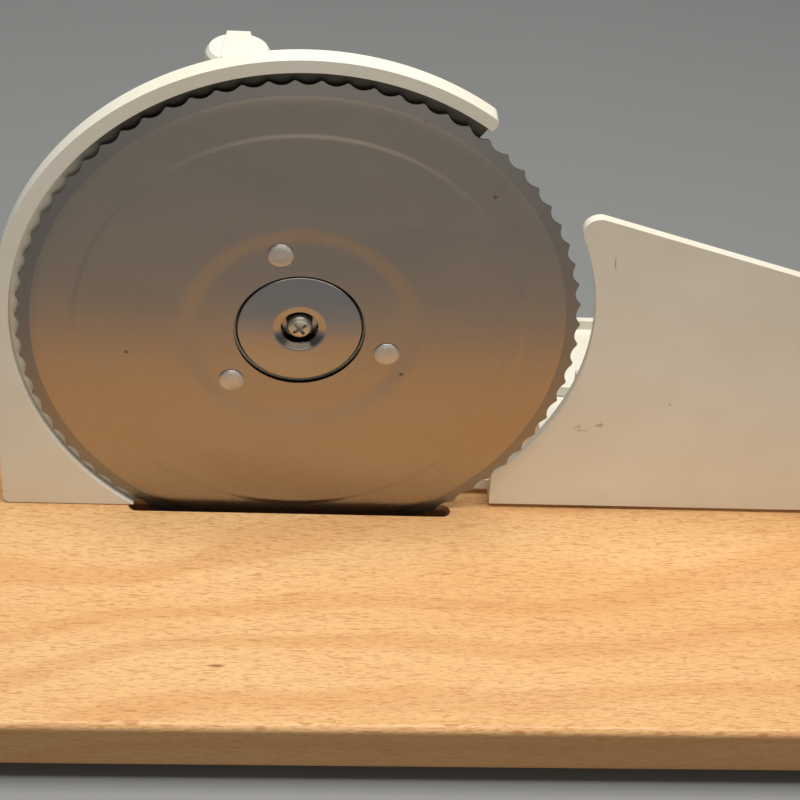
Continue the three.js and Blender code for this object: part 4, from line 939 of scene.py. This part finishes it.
def makeGuard():
    left, corner, right = guard["footLeft"], guard["footCorner"], guard["floorRight"]
    outer, endCorner = guard["outer"], guard["endCorner"]
    turn, ease = math.radians(guard["end"]), math.degrees(endCorner / outer)
    start, tip = ((r * math.cos(turn), r * math.sin(turn)) for r in (outer - endCorner, outer))
    rim = arc((0, 0), outer, guard["end"] + ease, 180, 150)
    outline = [start, *curve(start, tip, rim[0], 8), *rim[1:]]
    outline += arc((left + corner, foot + corner), corner, 180, 270, 8)
    outline += [(right, foot), (right, guard["floorRise"])]
    endRadius, endAngle = guard["inner"] - guard["floorLap"], math.radians(guard["end"])
    end = (endRadius * math.cos(endAngle), endRadius * math.sin(endAngle))
    outline += curve((right, guard["floorRise"]), (right, end[1] - guard["floorBend"]), end, 16)
    piece = slab(outline, guard["front"], guard["back"])
    openingX, openingZ = guard["openingCentre"]
    room = rod(guard["inner"], guard["front"] - 1, guard["floor"], (openingX, 0, openingZ), "Y", 288)
    flangeLeft, flangeRight, flangeBack, flangeHeight = guard["flange"]
    flange = block((flangeLeft, guard["back"] - 1, foot), (flangeRight, flangeBack, foot + flangeHeight))
    combined(piece, "UNION", flange)
    holeEnds = (guard["floor"] - 1, guard["back"] + 1)
    gearHole = rod(guard["gearHole"], *holeEnds, (0, 0, 0), "Y", 160)
    bushHole = rod(guard["bushHole"], *holeEnds, (crankX, 0, crankZ))
    combined(piece, "DIFFERENCE", room, gearHole, bushHole)
    eased(piece, guard["ease"], 4)
    settled(piece, "blade_guard_shell", "guardPaint", "frame", ["blade_guard"])


makeGuard()


fence = {
    "arcCentre": (11.6, 1.9), "arcRadius": 88.3, "peakAngle": 24.75, "peakCorner": 5.5, "slope": 0.289,
    "endCorner": 12, "thickness": 3.4, "step": -63, "lean": 0.5, "returnWidth": 2.5, "ease": 0.75,
}


def makeFence():
    low, high = boxOf("fence_plate")
    face, floor, right = low[1], low[2], high[0]
    centreX, centreZ = fence["arcCentre"]
    stepAngle = math.degrees(math.asin((fence["step"] - centreZ) / fence["arcRadius"]))
    hollow = arc(fence["arcCentre"], fence["arcRadius"], stepAngle, fence["peakAngle"], 90)
    left = hollow[0][0] + fence["lean"]
    reach, turn = fence["arcRadius"] + fence["peakCorner"], math.radians(fence["peakAngle"])
    peak = (centreX + reach * math.cos(turn), centreZ + reach * math.sin(turn))
    peakEnd = 90 - math.degrees(math.atan(fence["slope"]))
    crown = arc(peak, fence["peakCorner"], 180 + fence["peakAngle"], peakEnd, 24)
    turnX = right - fence["endCorner"]

    def topAt(x):
        return crown[-1][1] - fence["slope"] * (x - crown[-1][0])

    outline = [(left, floor), *hollow, *crown[1:], (turnX, topAt(turnX))]
    endTop = topAt(right)
    outline += curve((turnX, topAt(turnX)), (right, endTop), (right, endTop - fence["endCorner"]), 12)
    outline += [(right, floor)]
    plate = slab(outline, face, face + fence["thickness"])
    lip = block((left, face + 1, floor), (left + fence["returnWidth"], high[1], fence["step"]))
    combined(plate, "UNION", lip)
    eased(plate, fence["ease"], 4)
    settled(plate, "slice_fence", "fencePaint", "fence", ["fence_plate"])


makeFence()
print("guard and fence made")


housing = {
    "bladeSide": 43.75, "crankSide": 31.25, "wall": 3.5, "front": 6.9, "roomBack": 14.7, "back": 18.2,
    "bossRadius": 10, "bossBack": 33.5, "bushHole": 7.3, "earRadius": 5.5, "earDepth": 4,
    "ears": [(23.7, 41.1), (23.7, -41.1), (-65.5, 53.7), (-81.9, -7.5)],
    "columnRadius": 8, "columnLow": -63.3, "columnHigh": 84.4, "webHalf": 3, "webInset": (4, 6), "ease": 0.8,
    "spindleHole": 3.3,
}


# The outline of a belt round the blade's gear and the crank's gear.
def belt(inset, second=None, radii=None):
    second = second or (crankX, crankZ)
    first, other = radii or (housing["bladeSide"] - inset, housing["crankSide"] - inset)
    heading = math.degrees(math.atan2(second[1], second[0]))
    lean = math.degrees(math.acos((first - other) / math.hypot(*second)))
    around = arc((0, 0), first, heading + lean, heading + 360 - lean, 120)
    return around + arc(second, other, heading - lean, heading + lean, 80)


def makeHousing():
    front, back = housing["front"], housing["back"]
    crank = (crankX, 0, crankZ)
    piece = slab(belt(0), front, back)
    columnLow, columnHigh = housing["columnLow"], housing["columnHigh"]
    lowInset, highInset = housing["webInset"]
    half = housing["webHalf"]
    column = rod(housing["columnRadius"], columnLow, columnHigh, (spindleX, spindleY, 0), "Z")
    webLow = (spindleX - half, front, columnLow + lowInset)
    webHigh = (spindleX + half, spindleY, columnHigh - highInset)
    boss = rod(housing["bossRadius"], back - 1, housing["bossBack"], crank)
    combined(piece, "UNION", column, block(webLow, webHigh), boss)
    for x, z in housing["ears"]:
        combined(piece, "UNION", rod(housing["earRadius"], front, front + housing["earDepth"], (x, 0, z)))
    room = slab(belt(housing["wall"]), front - 1, housing["roomBack"])
    spindleHole = rod(housing["spindleHole"], columnLow - 1, columnHigh + 1, (spindleX, spindleY, 0), "Z")
    bushHole = rod(housing["bushHole"], front, housing["bossBack"] + 1, crank)
    combined(piece, "DIFFERENCE", room, spindleHole, bushHole)
    eased(piece, housing["ease"], 3, 40)
    settled(piece, "gear_housing_shell", "guardPaint", "frame", ["gear_housing"])


makeHousing()
print("gear housing made")


crankParts = {
    "armHub": 13, "armTip": 10, "armEase": 1.3, "gripEnd": 10.5, "gripMiddle": 13.5, "gripEdge": 1.5,
    "swellStart": 36, "swellEnd": 16, "gripBore": 4.3, "recess": 7, "recessDepth": 6,
    "shaftBore": 5.3, "flat": 4.2, "pinHole": 3.3, "washerBore": 2.6,
}


def makeCrank():
    armLow, armHigh = boxOf("crank_arm")
    gripLow, gripHigh = boxOf("crank_grip")
    gripZ = (gripLow[2] + gripHigh[2]) / 2
    drop = gripZ - crankZ
    around = belt(0, (0, drop), (crankParts["armHub"], crankParts["armTip"]))
    arm = slab([(x + crankX, z + crankZ) for x, z in around], armLow[1], armHigh[1])
    boreEnds = (armLow[1] - 1, armHigh[1] + 1)
    shaftBore, flat = crankParts["shaftBore"], crankParts["flat"]
    bore = rod(shaftBore, *boreEnds, (crankX, 0, crankZ))
    flatsLow = (crankX - flat, boreEnds[0] - 1, crankZ - shaftBore - 1)
    flatsHigh = (crankX + flat, boreEnds[1] + 1, crankZ + shaftBore + 1)
    combined(bore, "INTERSECT", block(flatsLow, flatsHigh))
    combined(arm, "DIFFERENCE", bore, rod(crankParts["pinHole"], *boreEnds, (crankX, 0, gripZ)))
    eased(arm, crankParts["armEase"], 4, 50)
    settled(arm, "crank_lever", "guardPaint", "crank", ["crank_arm"])

    front, back = gripLow[1], gripHigh[1]
    small, large, edge = crankParts["gripEnd"], crankParts["gripMiddle"], crankParts["gripEdge"]
    bore, recess, depth = crankParts["gripBore"], crankParts["recess"], crankParts["recessDepth"]
    side = steppedFace(front + edge, front + crankParts["swellStart"], small, large, 18)
    side += steppedFace(back - crankParts["swellEnd"], back - edge, large, small, 14)
    profile = [(bore, front), (bore + 0.6, front), (small - edge, front)]
    profile += curve((small - edge, front), (small, front), (small, front + edge), 6)[:-1]
    profile += [(r, y) for y, r in side]
    profile += curve((small, back - edge), (small, back), (small - edge, back), 6)
    profile += [(recess + 0.5, back), (recess, back - 0.5), (recess, back - depth), (bore, back - depth)]
    grip = turned(profile, (crankX, 0, gripZ), segments=96)
    settled(grip, "crank_handle", "knobPlastic", "grip", ["crank_grip"])

    washerLow, washerHigh = boxOf("crank_washer")
    radius = (washerHigh[0] - washerLow[0]) / 2
    hole = crankParts["washerBore"]
    ring = [(hole, washerLow[1]), (radius, washerLow[1]), (radius, washerHigh[1]), (hole, washerHigh[1])]
    washer = turned(softened(ring, 0.25), (crankX, 0, crankZ), segments=64)
    settled(washer, "crank_plain_washer", "screwSteel", "crank", ["crank_washer"])


makeCrank()
print("crank made")


knobSizes = {
    "bore": 3.2, "skirt": 11, "shoulder": 9.9, "shoulderDrop": 1.4, "roof": 3.4, "height": 8,
    "barLength": 17.6, "barWide": 11.4, "barNarrow": 7.4, "ribs": 40, "rib": 0.34,
}


def makeKnob():
    low, high = boxOf("thickness_knob")
    base = low[2]
    top = base + knobSizes["height"]
    bore, shoulder = knobSizes["bore"], knobSizes["shoulder"]
    skirt = knobSizes["skirt"] - knobSizes["rib"] * 0.8
    profile = [(bore, base), (skirt, base), (shoulder + 0.4, top - knobSizes["shoulderDrop"])]
    roof = top - knobSizes["roof"]
    profile += [(shoulder - 0.6, top), (0, top), (0, roof), (bore, roof)]
    wide, narrow, length = (knobSizes[key] / 2 for key in ("barWide", "barNarrow", "barLength"))
    piece = turned(profile, (0, 0, 0), "Z", 96)
    outline = [(-wide, -length), (wide, -length), (narrow, length), (-narrow, length)]
    combined(piece, "UNION", slab(outline, top - 0.4, high[2], "Z"))
    eased(piece, 0.8, 4, 25)
    piece.data.transform(Matrix.Translation((0, 0, -base)))
    values = {
        "Count": knobSizes["ribs"], "Ring": float(skirt), "Rib": knobSizes["rib"],
        "Height": knobSizes["height"] - knobSizes["shoulderDrop"] - 0.5, "Finish": finishes["knobPlastic"],
    }
    ribs.grownOn(piece, values)
    piece.data.transform(Matrix.Translation((spindleX, spindleY, base)))
    settled(piece, "slice_thickness_knob", None, "thickness_dial", ["thickness_knob"])

    low, high = boxOf("thickness_spindle")
    ring = [(0, low[2]), (3, low[2]), (3, high[2]), (0, high[2])]
    spindle = turned(softened(ring, 0.5), (spindleX, spindleY, 0), "Z", 64)
    settled(spindle, "thickness_shaft", "rodSteel", "thickness_dial", ["thickness_spindle"])


makeKnob()
print("thickness control made")


carriageSizes = {
    "uprightX": (98, 132), "uprightY": (6.6, 12), "uprightTop": -22, "bossY": 18.1, "bossTop": -62.6,
    "barY": (10.4, 16), "barTop": -72, "lugBack": 30.4, "lugWidth": 6, "ease": 0.8,
    "rodSeat": 4.15,
}
guide = {
    "corner": 3, "hoodBack": 31.4, "baseTop": -63.2, "roof": 2, "side": 5.5, "slotTop": -71.2,
    "capTop": -54.4, "lipDepth": 2.5, "ease": 0.9, "capEase": 1.1, "bore": 4.3,
}


def makeCarriage():
    low, high = boxOf("fence_carriage")
    left, right = carriageSizes["uprightX"]
    front, back = carriageSizes["uprightY"]
    barFront, barBack = carriageSizes["barY"]
    bottom, barTop = low[2], carriageSizes["barTop"]
    piece = block((left, front, bottom), (right, back, carriageSizes["uprightTop"]))
    boss = block((left, front, bottom + 0.7), (right, carriageSizes["bossY"], carriageSizes["bossTop"]))
    bar = block((low[0], barFront, bottom), (right, barBack, barTop))
    lugHigh = (low[0] + carriageSizes["lugWidth"], carriageSizes["lugBack"], barTop)
    lug = block((low[0], barFront, bottom), lugHigh)
    combined(piece, "UNION", boss, bar, lug)
    holes = []
    for node in ("guide_rod_1", "guide_rod_2"):
        rodLow, rodHigh = boxOf(node)
        rodX, rodZ = middleOf(node)[::2]
        holes.append(rod(carriageSizes["rodSeat"], rodLow[1] - 0.3, rodHigh[1], (rodX, 0, rodZ)))
    combined(piece, "DIFFERENCE", *holes)
    eased(piece, carriageSizes["ease"], 3)
    settled(piece, "fence_slide_bracket", "guardPaint", "fence", ["fence_carriage"])


def makeGuide():
    low, high = boxOf("guide_base")
    hoodBack, side, slotTop = guide["hoodBack"], guide["side"], guide["slotTop"]
    base = block((low[0], hoodBack - 0.2, low[2]), (high[0], high[1], guide["baseTop"]))
    combined(base, "UNION", block(low, (high[0], hoodBack, high[2])))
    roomBack = hoodBack - 0.2
    room = block((low[0] + side, low[1] - 1, low[2] - 1), (high[0] - side, roomBack, high[2] - guide["roof"]))
    slot = block((low[0] - 1, low[1] - 1, low[2] - 1), (low[0] + side + 1, roomBack, slotTop))
    combined(base, "DIFFERENCE", room, slot)
    for node in ("guide_rod_1", "guide_rod_2"):
        rodX, rodZ = middleOf(node)[::2]
        combined(base, "DIFFERENCE", rod(guide["bore"], hoodBack - 2, high[1] + 1, (rodX, 0, rodZ)))
    eased(base, guide["ease"], 3)
    settled(base, "guide_foot_block", "guardPaint", "frame", ["guide_base"])

    deck = roundedSlab(*boxOf("guide_deck"), guide["corner"])
    eased(deck, guide["ease"], 3)
    settled(deck, "guide_deck_plate", "guardPaint", "frame", ["guide_deck"])

    low, high = boxOf("guide_cap")
    corner = guide["corner"]
    cap = roundedSlab(low, (high[0], high[1], guide["capTop"]), corner)
    lip = block((low[0] + corner, high[1] - guide["lipDepth"], low[2]), (high[0] - corner, high[1], high[2]))
    combined(cap, "UNION", lip)
    eased(cap, guide["capEase"], 4)
    settled(cap, "guide_top_cap", "guardPaint", "frame", ["guide_cap"])


def makeRod(node, name):
    low, high = boxOf(node)
    radius = (high[0] - low[0]) / 2
    ring = [(0, low[1]), (radius, low[1]), (radius, high[1]), (0, high[1])]
    rodX, rodZ = middleOf(node)[::2]
    piece = turned(softened(ring, 0.7), (rodX, 0, rodZ), segments=64)
    settled(piece, name, "rodSteel", "fence", [node])


makeCarriage()
makeGuide()
for rodName in ("guide_rod_1", "guide_rod_2"):
    makeRod(rodName, "polished_" + rodName)
print("carriage, guide and rods made")


kept = {
    "blade_gear": ("gearPlastic", "blade", "gear_plastic"),
    "drive_gear": ("gearPlastic", "crank", "gear_plastic"),
    "blade_hub": ("aluminium", "frame", "aluminium"),
    "crank_bush_front": ("brass", "frame", "brass"),
    "crank_bush_rear": ("brass", "frame", "brass"),
    "spindle_bearing": ("brass", "frame", "brass"),
    "spindle_pinion": ("brass", "thickness_dial", "brass"),
    "fence_rack": ("brass", "fence", "brass"),
    "crank_shaft": ("rodSteel", "crank", "zinc_steel"),
    "grip_pin": ("rodSteel", "crank", "zinc_steel"),
}
for node, (finish, body, slot) in kept.items():
    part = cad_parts[node]
    part.data.materials.clear()
    part.data.materials.append(finishes[finish])
    bevel = part.modifiers.new("soft edges", "BEVEL")
    bevel.width = 0.12 * mm
    bevel.segments = 2
    bevel.limit_method = "ANGLE"
    bevel.angle_limit = math.radians(40)
print("finishes set on the kept parts")


studio = {
    "eye": (-24.4, -543.0, 395.3), "aim": (35.84, 0, -27.88), "lens": 90, "roll": 5.36,
    "floor": (0.27, 0.282, 0.29), "floorSide": 4.0, "air": (0.56, 0.56, 0.57), "airStrength": 0.24,
}
softboxes = {
    "overhead": {
        "place": (40, -60, 900), "aim": (40, -20, -60), "size": (900, 460),
        "power": 11.9, "tone": (1, 0.955, 0.88),
    },
    "front": {
        "place": (150, -950, 120), "aim": (40, 0, -40), "size": (900, 500),
        "power": 1.8, "tone": (1, 0.90, 0.76),
    },
}


def inFrame(point):
    return bladeCentre + Vector(point) * mm


def makeCamera():
    camera = bpy.data.objects.new("camera", bpy.data.cameras.new("camera"))
    bpy.context.scene.collection.objects.link(camera)
    camera.data.lens = studio["lens"]
    camera.data.clip_start = 0.01
    eye, aim = inFrame(studio["eye"]), inFrame(studio["aim"])
    roll = Quaternion((0, 0, 1), math.radians(studio["roll"]))
    camera.location = eye
    camera.rotation_mode = "QUATERNION"
    camera.rotation_quaternion = (aim - eye).to_track_quat("-Z", "Y") @ roll
    bpy.context.scene.camera = camera


def makeLight(name, row):
    light = bpy.data.objects.new(name, bpy.data.lights.new(name, "AREA"))
    bpy.context.scene.collection.objects.link(light)
    light.data.shape = "RECTANGLE"
    light.data.size, light.data.size_y = (side * mm for side in row["size"])
    light.data.energy = row["power"]
    light.data.color = row["tone"]
    light.location = inFrame(row["place"])
    light.rotation_euler = (inFrame(row["aim"]) - light.location).to_track_quat("-Z", "Y").to_euler()


def makeFloor():
    side = studio["floorSide"]
    mesh = bpy.data.meshes.new("floor")
    corners = [(-side, -side, 0), (side, -side, 0), (side, side, 0), (-side, side, 0)]
    mesh.from_pydata(corners, [], [(0, 1, 2, 3)])
    floor = linked("floor", mesh)
    finish = Finish("floorFinish", Roughness=0.6)
    clouds = finish.noise(finish.place, 0.004, 4.0, 0.6)
    pale = studio["floor"]
    finish.feed(Base_Color=finish.blend(clouds, pale, tuple(c * 0.93 for c in pale)))
    mesh.materials.append(finish.material)


def makeAir():
    world = bpy.data.worlds.new("air")
    world.use_nodes = True
    background = next(n for n in world.node_tree.nodes if n.type == "BACKGROUND")
    background.inputs["Color"].default_value = (*studio["air"], 1)
    background.inputs["Strength"].default_value = studio["airStrength"]
    bpy.context.scene.world = world
    bpy.context.scene.view_settings.view_transform = "Standard"


makeCamera()
for lightName, lightRow in softboxes.items():
    makeLight(lightName, lightRow)
makeFloor()
makeAir()
print("camera, light and floor made")

bpy.context.view_layer.update()
